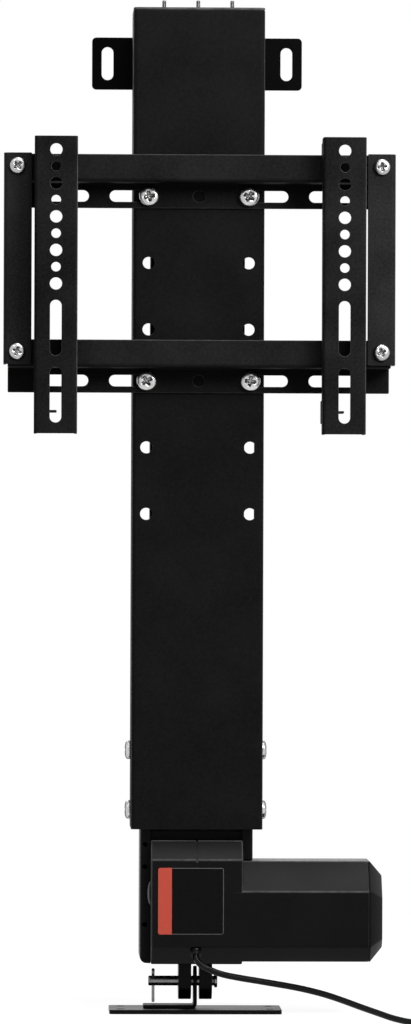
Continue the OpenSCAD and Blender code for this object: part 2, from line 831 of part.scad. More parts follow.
// Block under the mast, with a spigot inside it and cheeks beside it
module mast_base() {
    cheek_y = mast_d / 2 - 4;
    color("#2a2a2c") difference() {
        union() {
            translate([0, 0, box_z1]) linear_extrude(base_t) rounded_rect(2 * cradle_in, mast_d, 2 * bend_r);
            for (s = [-1, 1])
                brick(s > 0 ? [mast_w / 2 + fit, cradle_in] : [-cradle_in, -mast_w / 2 - fit],
                    [-cheek_y, cheek_y], [mast_z0 - eps, cradle_z1]);
            mast_plug([mast_z0 - eps, mast_z0 + spigot_h]);
        }
        rod_z(screw_d / 2 + 2 * chamber_gap, box_z1 - past, mast_z0 + spigot_h + past);
        for (x = [-1, 1])
            rod_y(housing_screw_r + fit, box_back - base_thread_l - thread_spare, box_back + past,
                x * base_screw_x, base_screw_z);
    }
}

module mast_base_screws() {
    color("silver") for (x = [-1, 1])
        translate([x * base_screw_x, box_back + cradle_t, base_screw_z]) rotate([-90, 0, 0])
            pan_screw(2 * housing_head_r, base_head_h, 2 * housing_screw_r, cradle_t + base_thread_l);
}

module mast() {
    color("#303033") difference() {
        translate([0, 0, mast_z0]) linear_extrude(mast_z1 - mast_z0) difference() {
            rounded_rect(mast_w, mast_d, mast_r);
            rounded_rect(mast_w - 2 * mast_t, mast_d - 2 * mast_t, mast_in_r);
        }
        for (x = [-1, 1])
            rod_y(wall_screw_r + fit, mast_d / 2 - 2 * mast_t, mast_d / 2 + past, x * wall_screw_x, ear_z);
    }
}

// Nylon cap that guides the column's inside and the push tube
module mast_cap() {
    side_x = column_in - slide_clear;
    side_y = mast_d / 2 - mast_r;
    front_x = upper_hole_spacing / 2 - rail_nut_w / 2 - 4;
    color("whitesmoke") difference() {
        union() {
            brick([-side_x, side_x], [-side_y, side_y], [mast_z1, cap_z1]);
            brick([-front_x, front_x], [front_in_y + slide_clear, 0], [mast_z1, cap_z1]);
            brick([-spacer_w / 2, spacer_w / 2], [0, lip_in_y], [mast_z1, cap_z1]);
            mast_plug([mast_z1 - cap_plug_h, mast_z1 + eps]);
        }
        rod_z(push_r + running, mast_z1 - cap_plug_h - past, cap_z1 + past);
    }
}

module wall_spacer() {
    color("#29292b") difference() {
        brick([-spacer_w / 2, spacer_w / 2], [mast_d / 2, ear_y0], [ear_z - ear_h / 2, ear_z + ear_h / 2]);
        for (x = [-1, 1]) rod_y(wall_screw_r + fit, 0, ear_y0 + past, x * wall_screw_x, ear_z);
    }
}

module wall_plate() {
    color("#252527") difference() {
        translate([0, ear_y1, ear_z]) rotate([90, 0, 0])
            linear_extrude(ear_t) rounded_rect(ear_w, ear_h, ear_r);
        for (x = [-1, 1]) {
            tall_slot(x * ear_slot_spacing / 2, ear_z, ear_slot_w, ear_slot_l,
                [ear_y0 - past, ear_y1 + past]);
            wall_screw_shape(x, fit);
        }
    }
}

module wall_screw_shape(x, grow) {
    head_h = wall_screw_head_r - wall_screw_r;
    rod_y(wall_screw_r + grow, mast_d / 2 - mast_t, ear_y1, x * wall_screw_x, ear_z);
    translate([x * wall_screw_x, ear_y1 - head_h, ear_z]) rotate([-90, 0, 0])
        cylinder(r1 = wall_screw_r + grow, r2 = wall_screw_head_r + grow, h = head_h);
}

module wall_screws() {
    color("silver") for (x = [-1, 1]) wall_screw_shape(x, 0);
}

// Moving column

// Lipped channel, open at the back, with two groups of three rows of rail holes
module sleeve() {
    color("#2e2e31") difference() {
        translate([0, column_mid_y, column_z0]) linear_extrude(column_z1 - column_z0) difference() {
            rounded_rect(column_w, column_d, column_r);
            rounded_rect(column_w - 2 * column_t, column_d - 2 * column_t, column_r - column_t);
            translate([0, column_d / 2]) square([column_w - 2 * column_lip, 3 * column_t], center = true);
        }
        for (g = [0, 1], row = [0 : 2], s = [-1, 1])
            rod_y(column_hole_d / 2, column_front_y - past, front_in_y + past, s * rail_spacing[g] / 2,
                rail_z[g] - row * hole_row_pitch);
        for (s = [0, 1], z = side_screw_z) mirror([s, 0, 0])
            rod_x(side_screw_r + fit, column_in - past, column_w / 2 + past, 0, z);
    }
}

module top_plate() {
    color("#2c2c2e") difference() {
        translate([0, column_mid_y, column_z1]) linear_extrude(top_plate_t)
            rounded_rect(column_w, column_d, column_r);
        for (i = [-1 : 1]) rod_z(stud_d / 2 + fit, column_z1 - past, closed_height + past, i * stud_pitch);
    }
}

// Nylon block between the column's corner and the mast, drawn for the right side
module slide_block() {
    leg_x = mast_w / 2 - 9;
    rear_x = spacer_w / 2 + 4;
    side_x = mast_w / 2 + slide_clear;
    face_y = mast_d / 2 + slide_clear;
    difference() {
        translate([0, 0, block_z0]) linear_extrude(block_h) polygon([
            [column_in, front_in_y + column_r], [column_in - column_r, front_in_y], [leg_x, front_in_y],
            [leg_x, -face_y], [side_x, -face_y], [side_x, face_y], [rear_x, face_y], [rear_x, lip_in_y],
            [column_in - column_r, lip_in_y], [column_in, lip_in_y - column_r]
        ]);
        for (z = side_screw_z) rod_x(side_screw_r + fit, side_x - past, column_in + past, 0, z);
    }
}

module slide_block_left() {
    color("whitesmoke") mirror([1, 0, 0]) slide_block();
}

module slide_block_right() {
    color("whitesmoke") slide_block();
}

module side_screws() {
    color("silver") for (s = [-1, 1], z = side_screw_z)
        translate([s * column_w / 2, 0, z]) rotate([0, s * 90, 0])
            pan_screw(side_head_d, side_head_h, 2 * side_screw_r, column_t + shoe_t - 2 * past);
}

// Lead nut, its carrier and the tube that pushes the column up

module drive_nut() {
    color("goldenrod") difference() {
        rod_z(nut_r, carrier_z0, nut_z1);
        rod_z(screw_d / 2 + running, carrier_z0 - past, nut_z1 + past);
    }
}

module nut_carrier() {
    inset = 2 * (mast_t + slide_clear);
    corner_r = 2;
    color("whitesmoke") difference() {
        translate([0, 0, carrier_z0]) linear_extrude(carrier_h)
            rounded_rect(mast_w - inset, mast_d - inset, corner_r);
        rod_z(nut_r + fit, carrier_z0 - past, nut_z1 + eps);
        rod_z(push_r + fit, nut_z1, carrier_z1 + past);
    }
}

module push_tube() {
    color("silver") difference() {
        rod_z(push_r, nut_z1, head_z0);
        rod_z(push_bore_r, nut_z1 - past, head_z0 + past);
    }
}

// Flat head on the push tube that holds the studs under the top plate
module push_head() {
    rim = 1.5;
    bar = [2 * stud_pitch + 14, 20];
    corner_r = 4;
    color("silver") difference() {
        translate([0, 0, head_z0]) linear_extrude(head_t) {
            circle(push_r + rim);
            rounded_rect(bar[0], bar[1], corner_r);
        }
        for (i = [-1 : 1]) rod_z(stud_d / 2 + fit, head_z0 - past, column_z1 + past, i * stud_pitch);
    }
}

module lid_studs() {
    chamfer = 0.6;
    chamfer_z = closed_height + stud_l - chamfer;
    color("silver") for (i = [-1 : 1]) translate([i * stud_pitch, 0, 0]) {
        rod_z(stud_d / 2, head_z0, chamfer_z);
        translate([0, 0, chamfer_z - eps]) cylinder(d1 = stud_d, d2 = stud_d - 1, h = chamfer);
    }
}

// Rail frame

// Z-section rail: slotted flange on the column, web forwards, lip up
module rail(i) {
    web_y = rail_front_y + rail_t + bend_r;
    web_z = rail_flange + rail_t;
    color("#272729") translate([0, 0, rail_z[i]]) difference() {
        along_x(-rail_half, rail_half) {
            translate([rail_back_y, -rail_flange]) square([rail_t, 2 * rail_flange - bend_r]);
            bend([rail_back_y - bend_r, rail_flange - bend_r], 0, rail_t);
            translate([web_y, rail_flange]) square([rail_back_y - bend_r - web_y, rail_t]);
            bend([web_y, web_z + bend_r], 180, rail_t);
            translate([rail_front_y, web_z + bend_r]) square([rail_t, rail_lip_h - rail_t - bend_r]);
        }
        for (s = [-1, 1], x = [inner_slot_x, outer_slot_x])
            flat_slot(s * x, 0, slot_w, slot_l, [rail_back_y - past, column_front_y + past]);
        rod_y(slot_w / 2, rail_back_y - past, column_front_y + past);
        for (s = [-1, 1])
            rod_y(bar_screw_d / 2 + fit, rail_front_y - past, web_y, s * bar_mid, bar_screw_z);
    }
}

module upper_rail() { rail(0); }

module lower_rail() { rail(1); }

module rail_screws() {
    color("gainsboro") for (i = [0, 1], s = [-1, 1])
        translate([s * rail_spacing[i] / 2, rail_back_y, rail_z[i]]) rotate([90, 0, 0])
            pan_screw(rail_head_d, rail_head_h, rail_screw_d, rail_t + column_t + rail_nut_h + screw_proud);
}

module rail_nuts() {
    color("silver") for (i = [0, 1], s = [-1, 1])
        hex_nut_y(rail_nut_w, front_in_y, front_in_y + rail_nut_h, rail_screw_d / 2 + fit,
            s * rail_spacing[i] / 2, rail_z[i]);
}

// L-angle over the rails' ends, drawn for the right side
module side_bar() {
    difference() {
        translate([0, 0, bar_z1 - bar_l]) linear_extrude(bar_l) {
            translate([bar_in, bar_front_y]) square([bar_w - bar_t - bend_r, bar_t]);
            bend([rail_half, rail_front_y + bend_r], -90, bar_t);
            translate([bar_out - bar_t, rail_front_y + bend_r]) square([bar_t, bar_leg - bar_t - bend_r]);
        }
        for (z = rail_z)
            rod_y(bar_screw_d / 2 + fit, bar_front_y - past, rail_front_y + past, bar_mid, z + bar_screw_z);
    }
}

module side_bar_left() {
    color("#232325") mirror([1, 0, 0]) side_bar();
}

module side_bar_right() {
    color("#232325") side_bar();
}

module bar_screws() {
    color("gainsboro") for (s = [-1, 1], z = rail_z)
        translate([s * bar_mid, bar_front_y, z + bar_screw_z]) rotate([90, 0, 0])
            pan_screw(bar_head_d, bar_head_h, bar_screw_d, bar_t + rail_t + bar_nut_h + screw_proud);
}

module bar_nuts() {
    nut_y = rail_front_y + rail_t;
    color("silver") for (s = [-1, 1], z = rail_z)
        hex_nut_y(bar_nut_w, nut_y, nut_y + bar_nut_h, bar_screw_d / 2 + fit, s * bar_mid, z + bar_screw_z);
}

// Screen arm: a channel with hooks at the top and a tab for its lock screw near the bottom
module arm() {
    edge_r = max(2.5, arm_t + 0.5);
    face = [arm_front_y - past, arm_front_y + arm_t + past];
    tab_low = tab_z - tab_h / 2;
    root = 6;
    tab_root = 2;
    difference() {
        union() {
            translate([0, 0, arm_z_low]) linear_extrude(arm_l) difference() {
                translate([0, arm_back_y]) rounded_rect(arm_w, 2 * arm_depth, edge_r);
                translate([0, arm_back_y])
                    rounded_rect(arm_w - 2 * arm_t, 2 * (arm_depth - arm_t), edge_r - arm_t);
                translate([0, arm_back_y + arm_depth]) square([2 * arm_w, 2 * arm_depth], center = true);
            }
            for (x = [-arm_w / 2, arm_w / 2 - arm_t]) along_x(x, x + arm_t) {
                translate([arm_back_y - root, hook_z0])
                    square([tongue_y0 + tongue_d - arm_back_y + root, hook_h]);
                translate([tongue_y0, hook_z0 - tongue_h]) square([tongue_d, tongue_h + eps]);
            }
            brick([-arm_w / 2, arm_t - arm_w / 2], [arm_back_y - root, tab_y1], [tab_low, tab_low + tab_h]);
            brick([-arm_w / 2, tab_x1], [rail_front_y + tab_root, tab_y1],
                [tab_z - tab_t / 2, tab_z + tab_t / 2]);
        }
        for (i = [0 : arm_hole_count - 1])
            rod_y((i % 2 == 0 ? large_hole_d : small_hole_d) / 2, face[0], face[1], 0,
                arm_z_top - arm_hole_top - i * arm_hole_pitch);
        for (t = arm_slot_tops)
            tall_slot(0, arm_z_top - t - arm_slot_l / 2, arm_slot_w, arm_slot_l, face);
        rod_z(lock_r + fit, tab_z - tab_t, tab_z + tab_t, lock_x, lock_y);
    }
}

module left_arm() {
    color("#29292b") translate([-screen_spacing / 2, 0, 0]) arm();
}

module right_arm() {
    color("#29292b") translate([screen_spacing / 2, 0, 0]) arm();
}

module lock_screw(x) {
    color("silver") translate([x + lock_x, lock_y, 0]) {
        rod_z(lock_r, lock_z0 + lock_head_h - eps, lock_z1);
        rod_z(lock_head_r, lock_z0, lock_z0 + lock_head_h);
    }
}

module left_lock_screw() { lock_screw(-screen_spacing / 2); }

module right_lock_screw() { lock_screw(screen_spacing / 2); }

// Motor lead

// The relief stands square on the gearbox's lower bevel
module relief_place() {
    translate([relief_x, box_bevel / 2 - box_front - relief_rise, box_z0 + box_bevel / 2 + relief_rise])
        rotate([135, 0, 0]) children();
}

module strain_relief() {
    ribs = 2;
    rib_w = 0.8;
    color("#151516") relief_place() {
        rod_z(relief_r[0] - fit, eps - relief_root, eps);
        cylinder(r1 = relief_r[0] - fit, r2 = relief_r[1], h = relief_l);
        for (i = [0 : ribs - 1]) rod_z(relief_rib_r, past + 2 * i * rib_w, past + (2 * i + 1) * rib_w);
    }
}

function lerp_spline(p, i, t) =
    let (a = p[max(i - 1, 0)], b = p[i], c = p[i + 1], d = p[min(i + 2, len(p) - 1)])
    0.5 * (2 * b + (c - a) * t + (2 * a - 5 * b + 4 * c - d) * t * t + (3 * b - a - 3 * c + d) * t * t * t);

function smooth(p, n) = concat(
    [for (i = [0 : len(p) - 2], k = [0 : n - 1]) lerp_spline(p, i, k / n)], [p[len(p) - 1]]);

function unit(v) = v / norm(v);

function heading(p, i) = unit(p[min(i + 1, len(p) - 1)] - p[max(i - 1, 0)]);

// Ring of points round a route point, with one side kept level
function ring(p, i, r, sides, along) =
    let (level = unit(cross(along, [0, 0, 1])), up = cross(level, along))
    [for (k = [0 : sides - 1]) p[i] + r * (level * cos(360 * k / sides) + up * sin(360 * k / sides))];

module swept(p, r, sides, first, last) {
    n = len(p);
    along = [for (i = [0 : n - 1]) i == 0 ? first : i == n - 1 ? last : heading(p, i)];
    skin([for (i = [0 : n - 1]) each ring(p, i, r, sides, along[i])], sides);
}

module cord() {
    color("#141415") swept(smooth(cord_points, cord_steps), cord_r, cord_sides, unit([0, -1, -1]), [1, 0, 0]);
}

// Coil: in along the floor, up a layer in the half turn where it reverses, and out again on top
function coil_point(t) =
    let (
        r = coil_r - coil_step * (coil_turns - abs(coil_turns - t)),
        climb = min(max((t - coil_turns + 0.25) / 0.5, 0), 1),
        turn = 360 * t - 90
    )
    [coil_mid[0] + r * cos(turn), coil_mid[1] + r * sin(turn), coil_z + coil_layer * climb];

coil_start = coil_point(0);
coil_end = coil_point(2 * coil_turns);
coil_path = concat(
    [coil_start - [cord_d, 0, 0]],
    [for (i = [0 : 2 * coil_turns * coil_rings]) coil_point(i / coil_rings)],
    [coil_end + [cord_d, 0, 0], coil_end + [coil_tail, 0, 0]]
);

// Least distance between stretches of the coil that lie more than half a turn apart
coil_gap = min([for (i = [1 : len(coil_path) - 3], j = [i + coil_rings / 2 : 1 : len(coil_path) - 3])
    norm(coil_path[i] - coil_path[j])]) - cord_d;
echo(coil_gap = coil_gap);

module cord_coil() {
    color("#141415") swept(coil_path, cord_r, coil_sides, [1, 0, 0], [1, 0, 0]);
}

// Band round the coil's turns
module cord_tie() {
    slack = 0.4;
    under = 0.15;
    side = [coil_r - coil_step * coil_turns - cord_r - slack, coil_r + cord_r + slack];
    height = [coil_z - cord_r - under, coil_z + coil_layer + cord_r + slack];
    color("#202022") translate([coil_mid[0], coil_mid[1], 0]) difference() {
        brick([-tie_w / 2, tie_w / 2], [side[0] - tie_t, side[1] + tie_t],
            [height[0] - tie_t, height[1] + tie_t]);
        brick([-tie_w, tie_w], side, height);
    }
}

// Plain round connector
module cord_plug() {
    place = coil_end + [coil_tail, 0, 0];
    boot_l = 6;
    boot_r = cord_r + 1.2;
    nose_l = 2;
    nose_r = plug_r - 0.8;
    socket_r = plug_r - 2.4;
    socket_l = 8;
    color("#18181a") translate(place) rotate([0, 90, 0]) difference() {
        union() {
            cylinder(r1 = boot_r, r2 = nose_r, h = boot_l);
            rod_z(plug_r, boot_l - eps, plug_l - nose_l);
            rod_z(nose_r, plug_l - nose_l - eps, plug_l);
        }
        rod_z(socket_r, plug_l - socket_l, plug_l + past);
    }
}

foot_plate();
foot_lug();
clevis_pin();
cotter_pin();
rear_clevis();
cradle();
cradle_screws();
housing_rear();
housing_front();
housing_screws();
motor_can();
motor_end_cap();
worm();
worm_bush();
worm_wheel();
lead_screw();
bearing_lower();
bearing_upper();
screw_end_bush();
mast_base();
mast_base_screws();
mast();
mast_cap();
wall_spacer();
wall_plate();
wall_screws();
sleeve();
top_plate();
slide_block_left();
slide_block_right();
side_screws();
drive_nut();
nut_carrier();
push_tube();
push_head();
lid_studs();
upper_rail();
lower_rail();
rail_screws();
rail_nuts();
side_bar_left();
side_bar_right();
bar_screws();
bar_nuts();
left_arm();
right_arm();
left_lock_screw();
right_lock_screw();
strain_relief();
cord();
cord_coil();
cord_tie();
cord_plug();
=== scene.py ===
import json
import math

import bmesh
import bpy
from mathutils import Matrix, Vector
from mathutils.geometry import delaunay_2d_cdt


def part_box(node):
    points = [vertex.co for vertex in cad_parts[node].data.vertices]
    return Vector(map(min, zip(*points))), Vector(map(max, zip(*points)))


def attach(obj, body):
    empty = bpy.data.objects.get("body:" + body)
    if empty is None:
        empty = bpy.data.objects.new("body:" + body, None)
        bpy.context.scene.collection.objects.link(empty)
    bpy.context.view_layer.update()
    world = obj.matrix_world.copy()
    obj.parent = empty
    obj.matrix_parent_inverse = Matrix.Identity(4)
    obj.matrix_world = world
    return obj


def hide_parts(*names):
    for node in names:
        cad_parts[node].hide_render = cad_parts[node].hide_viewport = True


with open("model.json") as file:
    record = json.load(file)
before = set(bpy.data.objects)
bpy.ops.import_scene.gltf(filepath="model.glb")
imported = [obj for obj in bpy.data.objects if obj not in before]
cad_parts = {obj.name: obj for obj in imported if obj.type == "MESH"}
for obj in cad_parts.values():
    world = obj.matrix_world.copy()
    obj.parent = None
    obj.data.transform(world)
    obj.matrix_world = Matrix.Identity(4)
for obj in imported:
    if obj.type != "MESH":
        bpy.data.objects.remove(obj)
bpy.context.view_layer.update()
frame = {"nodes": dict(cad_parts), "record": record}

mm = 0.001  # sizes below are in millimetres
axisX, axisY, axisZ = xyzAxes = Vector((1, 0, 0)), Vector((0, 1, 0)), Vector((0, 0, 1))
scene = bpy.context.scene
scene.view_settings.view_transform = "Standard"
bodyOf = {node: body for body, nodes in frame["record"]["behaviour"]["bodies"].items() for node in nodes}


def addObject(name, data):
    made = bpy.data.objects.new(name, data)
    scene.collection.objects.link(made)
    return made


# Camera, at the photograph's viewing angle
photoView = {
    "yaw": 1.595, "pitch": 0.459, "roll": 0.2,  # degrees
    "distance": 4409, "height": 316.6, "aimX": 5.3, "aimY": -38,
    "focalPixels": 6307, "imageHeight": 1024, "sensor": 36, "clipEnd": 60,  # the clip is in metres
}


def makeCamera(view):
    yaw, pitch, roll = (math.radians(view[turn]) for turn in ("yaw", "pitch", "roll"))
    ahead = Vector((math.sin(yaw) * math.cos(pitch), math.cos(yaw) * math.cos(pitch), math.sin(pitch)))
    level = Vector((math.cos(yaw), -math.sin(yaw), 0))
    upright = level.cross(ahead)
    right = math.cos(roll) * level + math.sin(roll) * upright
    up = math.cos(roll) * upright - math.sin(roll) * level
    place = Matrix((right, up, -ahead)).transposed().to_4x4()
    place.translation = mm * Vector((
        view["aimX"] - view["distance"] * math.sin(yaw),
        view["aimY"] - view["distance"] * math.cos(yaw),
        view["height"],
    ))
    lens = bpy.data.cameras.new("photoCamera")
    lens.sensor_width = view["sensor"]
    lens.lens = view["focalPixels"] * view["sensor"] / view["imageHeight"]
    lens.clip_end = view["clipEnd"]
    scene.camera = addObject("photoCamera", lens)
    scene.camera.matrix_world = place


makeCamera(photoView)
print("camera set")


# Shader node groups
def feed(tree, node, inputs):
    for name, value in inputs.items():
        if isinstance(value, bpy.types.NodeSocket):
            tree.links.new(value, node.inputs[name])
        else:
            node.inputs[name].default_value = value


def addNode(tree, kind, inputs=None, **settings):
    made = tree.nodes.new("ShaderNode" + kind)
    for name, value in settings.items():
        setattr(made, name, value)
    feed(tree, made, inputs or {})
    return made


def calc(tree, operation, first, second=0.0):
    return addNode(tree, "Math", {0: first, 1: second}, operation=operation).outputs[0]


def times(tree, first, second):
    return calc(tree, "MULTIPLY", first, second)


def plus(tree, first, second):
    return calc(tree, "ADD", first, second)


def mixed(tree, share, first, second):
    colours = {0: share, 6: first, 7: second}  # the colour sockets of a Mix node
    return addNode(tree, "Mix", colours, data_type="RGBA").outputs[2]


def ramped(tree, value, between, low, high):
    limits = {"Value": value, "From Min": between[0], "From Max": between[1], "To Min": low, "To Max": high}
    return addNode(tree, "MapRange", limits).outputs["Result"]


def noiseAt(tree, scale, detail=3.0, stretch=None):
    place = addNode(tree, "TexCoord").outputs["Object"]
    if stretch:
        place = addNode(tree, "Mapping", {"Vector": place, "Scale": stretch}).outputs["Vector"]
    return addNode(tree, "TexNoise", {"Vector": place, "Scale": scale, "Detail": detail}).outputs["Fac"]


def newGroup(name, inputs, outputs):
    tree = bpy.data.node_groups.new(name, "ShaderNodeTree")
    for label, value in inputs.items():
        kind = "NodeSocketColor" if isinstance(value, tuple) else "NodeSocketFloat"
        tree.interface.new_socket(label, in_out="INPUT", socket_type=kind).default_value = value
    for label, kind in outputs.items():
        tree.interface.new_socket(label, in_out="OUTPUT", socket_type="NodeSocket" + kind)
    return tree, tree.nodes.new("NodeGroupInput").outputs, tree.nodes.new("NodeGroupOutput")


def grey(level, warmth=0.0):
    return (level * (1 + warmth), level, level * (1 - warmth), 1)


broad, firm = (0.3, 0.7), (0.35, 0.65)  # how much of a noise's range is used
surface = {"Color": "Color", "Roughness": "Float", "Height": "Float"}


# Outer edges of a piece, with chosen bends and upward creases, painted paler, mostly as a painted highlight
# and in part as a thinner finish, broken up a little; below 0 it marks painted shade in recesses
def makeSheenAndShadeGroup(patches=160.0):
    tree, given, made = newGroup("sheenAndShadeMask", {"Break up": 0.5}, {"Mask": "Float"})
    edge = addNode(tree, "Attribute", attribute_name="edge").outputs["Fac"]
    least = calc(tree, "SUBTRACT", 1.0, given["Break up"])
    kept = ramped(tree, noiseAt(tree, patches), broad, least, 1.0)
    feed(tree, made, {"Mask": times(tree, edge, kept)})
    return tree


# Sprayed or moulded skin: pebbled height, cloudy tone and a paler line along the edges, a painted highlight
def makeSkinGroup(edges, clouds=22.0, cloudShare=0.55, coarseGrain=0.28, unevenness=0.06, edgePolish=-0.08):
    tree, given, made = newGroup(
        "pebbledSkin",
        {"Tone": grey(0.01), "Edge highlight tone": grey(0.03), "Grain": 900.0, "Roughness": 0.45, "Clouding": 0.25},
        surface)
    fine = noiseAt(tree, given["Grain"], detail=2.0)
    coarse = noiseAt(tree, times(tree, given["Grain"], coarseGrain), detail=1.0)
    cloud = noiseAt(tree, clouds)
    edge = addNode(tree, "Group", node_tree=edges).outputs["Mask"]
    speckle = plus(tree, times(tree, cloud, cloudShare), times(tree, fine, 1 - cloudShare))
    shade = times(tree, ramped(tree, speckle, firm, -1.0, 1.0), given["Clouding"])
    shaded = {0: given["Tone"], "Scale": plus(tree, 1.0, shade)}
    clouded = addNode(tree, "VectorMath", shaded, operation="SCALE").outputs[0]
    uneven = plus(tree, ramped(tree, speckle, broad, -unevenness, unevenness), times(tree, edge, edgePolish))
    feed(tree, made, {
        # the edge tone is a painted highlight along rims, chosen bends and upward creases
        "Color": mixed(tree, edge, clouded, given["Edge highlight tone"]),
        "Roughness": plus(tree, given["Roughness"], uneven),
        "Height": plus(tree, times(tree, fine, 0.5), times(tree, coarse, 0.5)),
    })
    return tree


# Plated or ground metal: drawing marks, tarnish, brighter edges and, where edge is below 0, painted shade in
# recesses
def makeMetalGroup(edges, drawn=(1.0, 1.0, 0.08), stains=210.0, mostStain=0.55, edgeShine=0.4, recessShade=0.02):
    inputs = {"Tone": grey(0.7), "Tarnish": grey(0.4, 0.02), "Roughness": 0.25, "Marks": 700.0}
    tree, given, made = newGroup("platedMetal", inputs, surface)
    marks = noiseAt(tree, given["Marks"], stretch=drawn)
    stain = noiseAt(tree, stains)
    edge = addNode(tree, "Group", node_tree=edges).outputs["Mask"]
    stained = ramped(tree, stain, (0.35, 0.75), 0.0, mostStain)
    dulled = mixed(tree, stained, given["Tone"], given["Tarnish"])
    wearAndSheen = mixed(tree, times(tree, edge, edgeShine), dulled, given["Tone"])
    # darkened where the mask is below 0: painted shade in the recesses
    recessShaded = mixed(tree, times(tree, edge, -1.0), wearAndSheen, grey(recessShade))
    uneven = plus(tree, ramped(tree, stain, broad, -0.06, 0.1), ramped(tree, marks, broad, -0.04, 0.06))
    feed(tree, made, {"Color": recessShaded, "Roughness": plus(tree, given["Roughness"], uneven), "Height": marks})
    return tree


sheenAndShadeMask = makeSheenAndShadeGroup()
pebbledSkin = makeSkinGroup(sheenAndShadeMask)
platedMetal = makeMetalGroup(sheenAndShadeMask)


# Finishes
def newMaterial(name):
    finish = bpy.data.materials.new(name)
    finish.use_nodes = True
    return finish, finish.node_tree, finish.node_tree.nodes["Principled BSDF"]


def newFinish(name, group, values, bump, specular, metallic=0.0, edgeTint=1.0):
    # edgeTint is how brightly a metal mirrors where its surface turns away
    finish, tree, shader = newMaterial(name)
    made = addNode(tree, "Group", values, node_tree=group).outputs
    bumps = addNode(tree, "Bump", {"Height": made["Height"], "Distance": bump * mm, "Strength": 1.0})
    feed(tree, shader, {
        "Base Color": made["Color"], "Roughness": made["Roughness"], "Normal": bumps.outputs[0],
        "Specular IOR Level": specular, "Metallic": metallic, "Specular Tint": grey(edgeTint),
    })
    return finish


def skinFinish(name, tone, edge, grain, roughness, bump, specular, clouding=0.25):
    values = {"Tone": tone, "Edge highlight tone": edge, "Grain": grain, "Roughness": roughness, "Clouding": clouding}
    return newFinish(name, pebbledSkin, values, bump, specular)


def blackCoat(name, tone, edge, roughness=0.42, specular=0.05):
    return skinFinish(name, grey(tone), grey(edge), grain=620.0, roughness=roughness, bump=0.035,
                      specular=specular, clouding=0.5)


def metalFinish(name, tone, tarnish, roughness, bump, edgeTint=1.0, marks=900.0):
    values = {"Tone": tone, "Tarnish": tarnish, "Roughness": roughness, "Marks": marks}
    return newFinish(name, platedMetal, values, bump, specular=0.5, metallic=1.0, edgeTint=edgeTint)


# the second tone of each coat is painted paler along rims and chosen bends: a painted highlight
columnCoat = blackCoat("columnPowderCoat", 0.0066, 0.045, roughness=0.6)
# the column's coat again, with a brighter painted highlight along the top plate's rims
lidRimHighlightCoat = blackCoat("lidRimHighlightPowderCoat", 0.0066, 0.17, roughness=0.6)
armCoat = blackCoat("armPowderCoat", 0.0152, 0.13, roughness=0.6, specular=0.01)
railCoat = blackCoat("railPowderCoat", 0.0115, 0.1, roughness=0.6)
# the same black powder coat painted lighter: painted light on the side bars, with a painted highlight along
# their bend
barLitCoat = blackCoat("barLitPowderCoat", 0.019, 0.05)
baseCoat = blackCoat("basePowderCoat", 0.0028, 0.006, roughness=0.34, specular=0.06)
darkCoat = blackCoat("darkPowderCoat", 0.001, 0.01, specular=0.03)
# its edge tone paints a highlight along the housing's rims and upward creases
housingPlastic = skinFinish("housingMoulding", grey(0.0034), grey(0.08), grain=1500.0, roughness=0.32,
                            bump=0.015, specular=0.08, clouding=0.5)
cordJacket = skinFinish("cordJacket", grey(0.002), grey(0.012), grain=800.0, roughness=0.14, bump=0.003,
                        specular=0.14)
naturalNylon = skinFinish("naturalNylon", grey(0.72, 0.02), grey(0.8, 0.02), grain=500.0, roughness=0.5,
                          bump=0.02, specular=0.4, clouding=0.08)
zincPlate = metalFinish("brightZinc", grey(0.66), grey(0.4, 0.02), 0.24, 0.006)
chromePlate = metalFinish("chromePlate", grey(0.6), grey(0.35), 0.12, 0.004, edgeTint=0.0)
agedZinc = metalFinish("agedZinc", grey(0.5), grey(0.28, 0.02), 0.24, 0.006, edgeTint=0.1)
dullSteel = metalFinish("dullSteel", grey(0.22), grey(0.1, 0.03), 0.26, 0.008, edgeTint=0.0)
groundSteel = metalFinish("groundSteel", grey(0.6), grey(0.38, 0.03), 0.3, 0.008, marks=1200.0)
machinedBronze = metalFinish("machinedBronze", (0.62, 0.4, 0.17, 1), (0.33, 0.2, 0.09, 1), 0.28, 0.008)
slots = {  # the record's slot for the finishes of new pieces
    "powder_black": (columnCoat, lidRimHighlightCoat, armCoat, railCoat, barLitCoat, baseCoat, darkCoat),
    "zinc": (zincPlate, chromePlate, agedZinc, dullSteel),
    "black_plastic": (housingPlastic,),
    "black_rubber": (cordJacket,),
}
slotOf = {finish: slot for slot, finishes in slots.items() for finish in finishes}
print("finishes made")


# Mesh parts: points, a normal for each (none where the faces decide), an edge value (how pale its painted
# edge highlight, below 0 how dark its painted recess shade), and faces
def newPart():
    return {"points": [], "normals": [], "edge": [], "faces": []}


def addPoint(part, point, normal=None, edge=0.0):
    part["points"].append(Vector(point))
    part["normals"].append(Vector(normal) if normal is not None else Vector((0, 0, 0)))
    part["edge"].append(edge)
    return len(part["points"]) - 1


def joinRows(part, rows, capped=False):
    for first, second in zip(rows, rows[1:]):
        count = max(len(first), len(second))
        for i in range(count):
            j = (i + 1) % count
            face = [first[k % len(first)] for k in (i, j)] + [second[k % len(second)] for k in (j, i)]
            part["faces"].append(list(dict.fromkeys(face)))
    if capped:
        part["faces"] += [rows[0][::-1], rows[-1]]


def placed(part, matrix):
    turn = matrix.to_3x3()
    moved = dict(part)
    moved["points"] = [matrix @ point for point in part["points"]]
    moved["normals"] = [turn @ normal for normal in part["normals"]]
    return moved


def gathered(parts):
    whole = newPart()
    for part in parts:
        start = len(whole["points"])
        for kind in ("points", "normals", "edge"):
            whole[kind] += part[kind]
        whole["faces"] += [[start + i for i in face] for face in part["faces"]]
    return whole


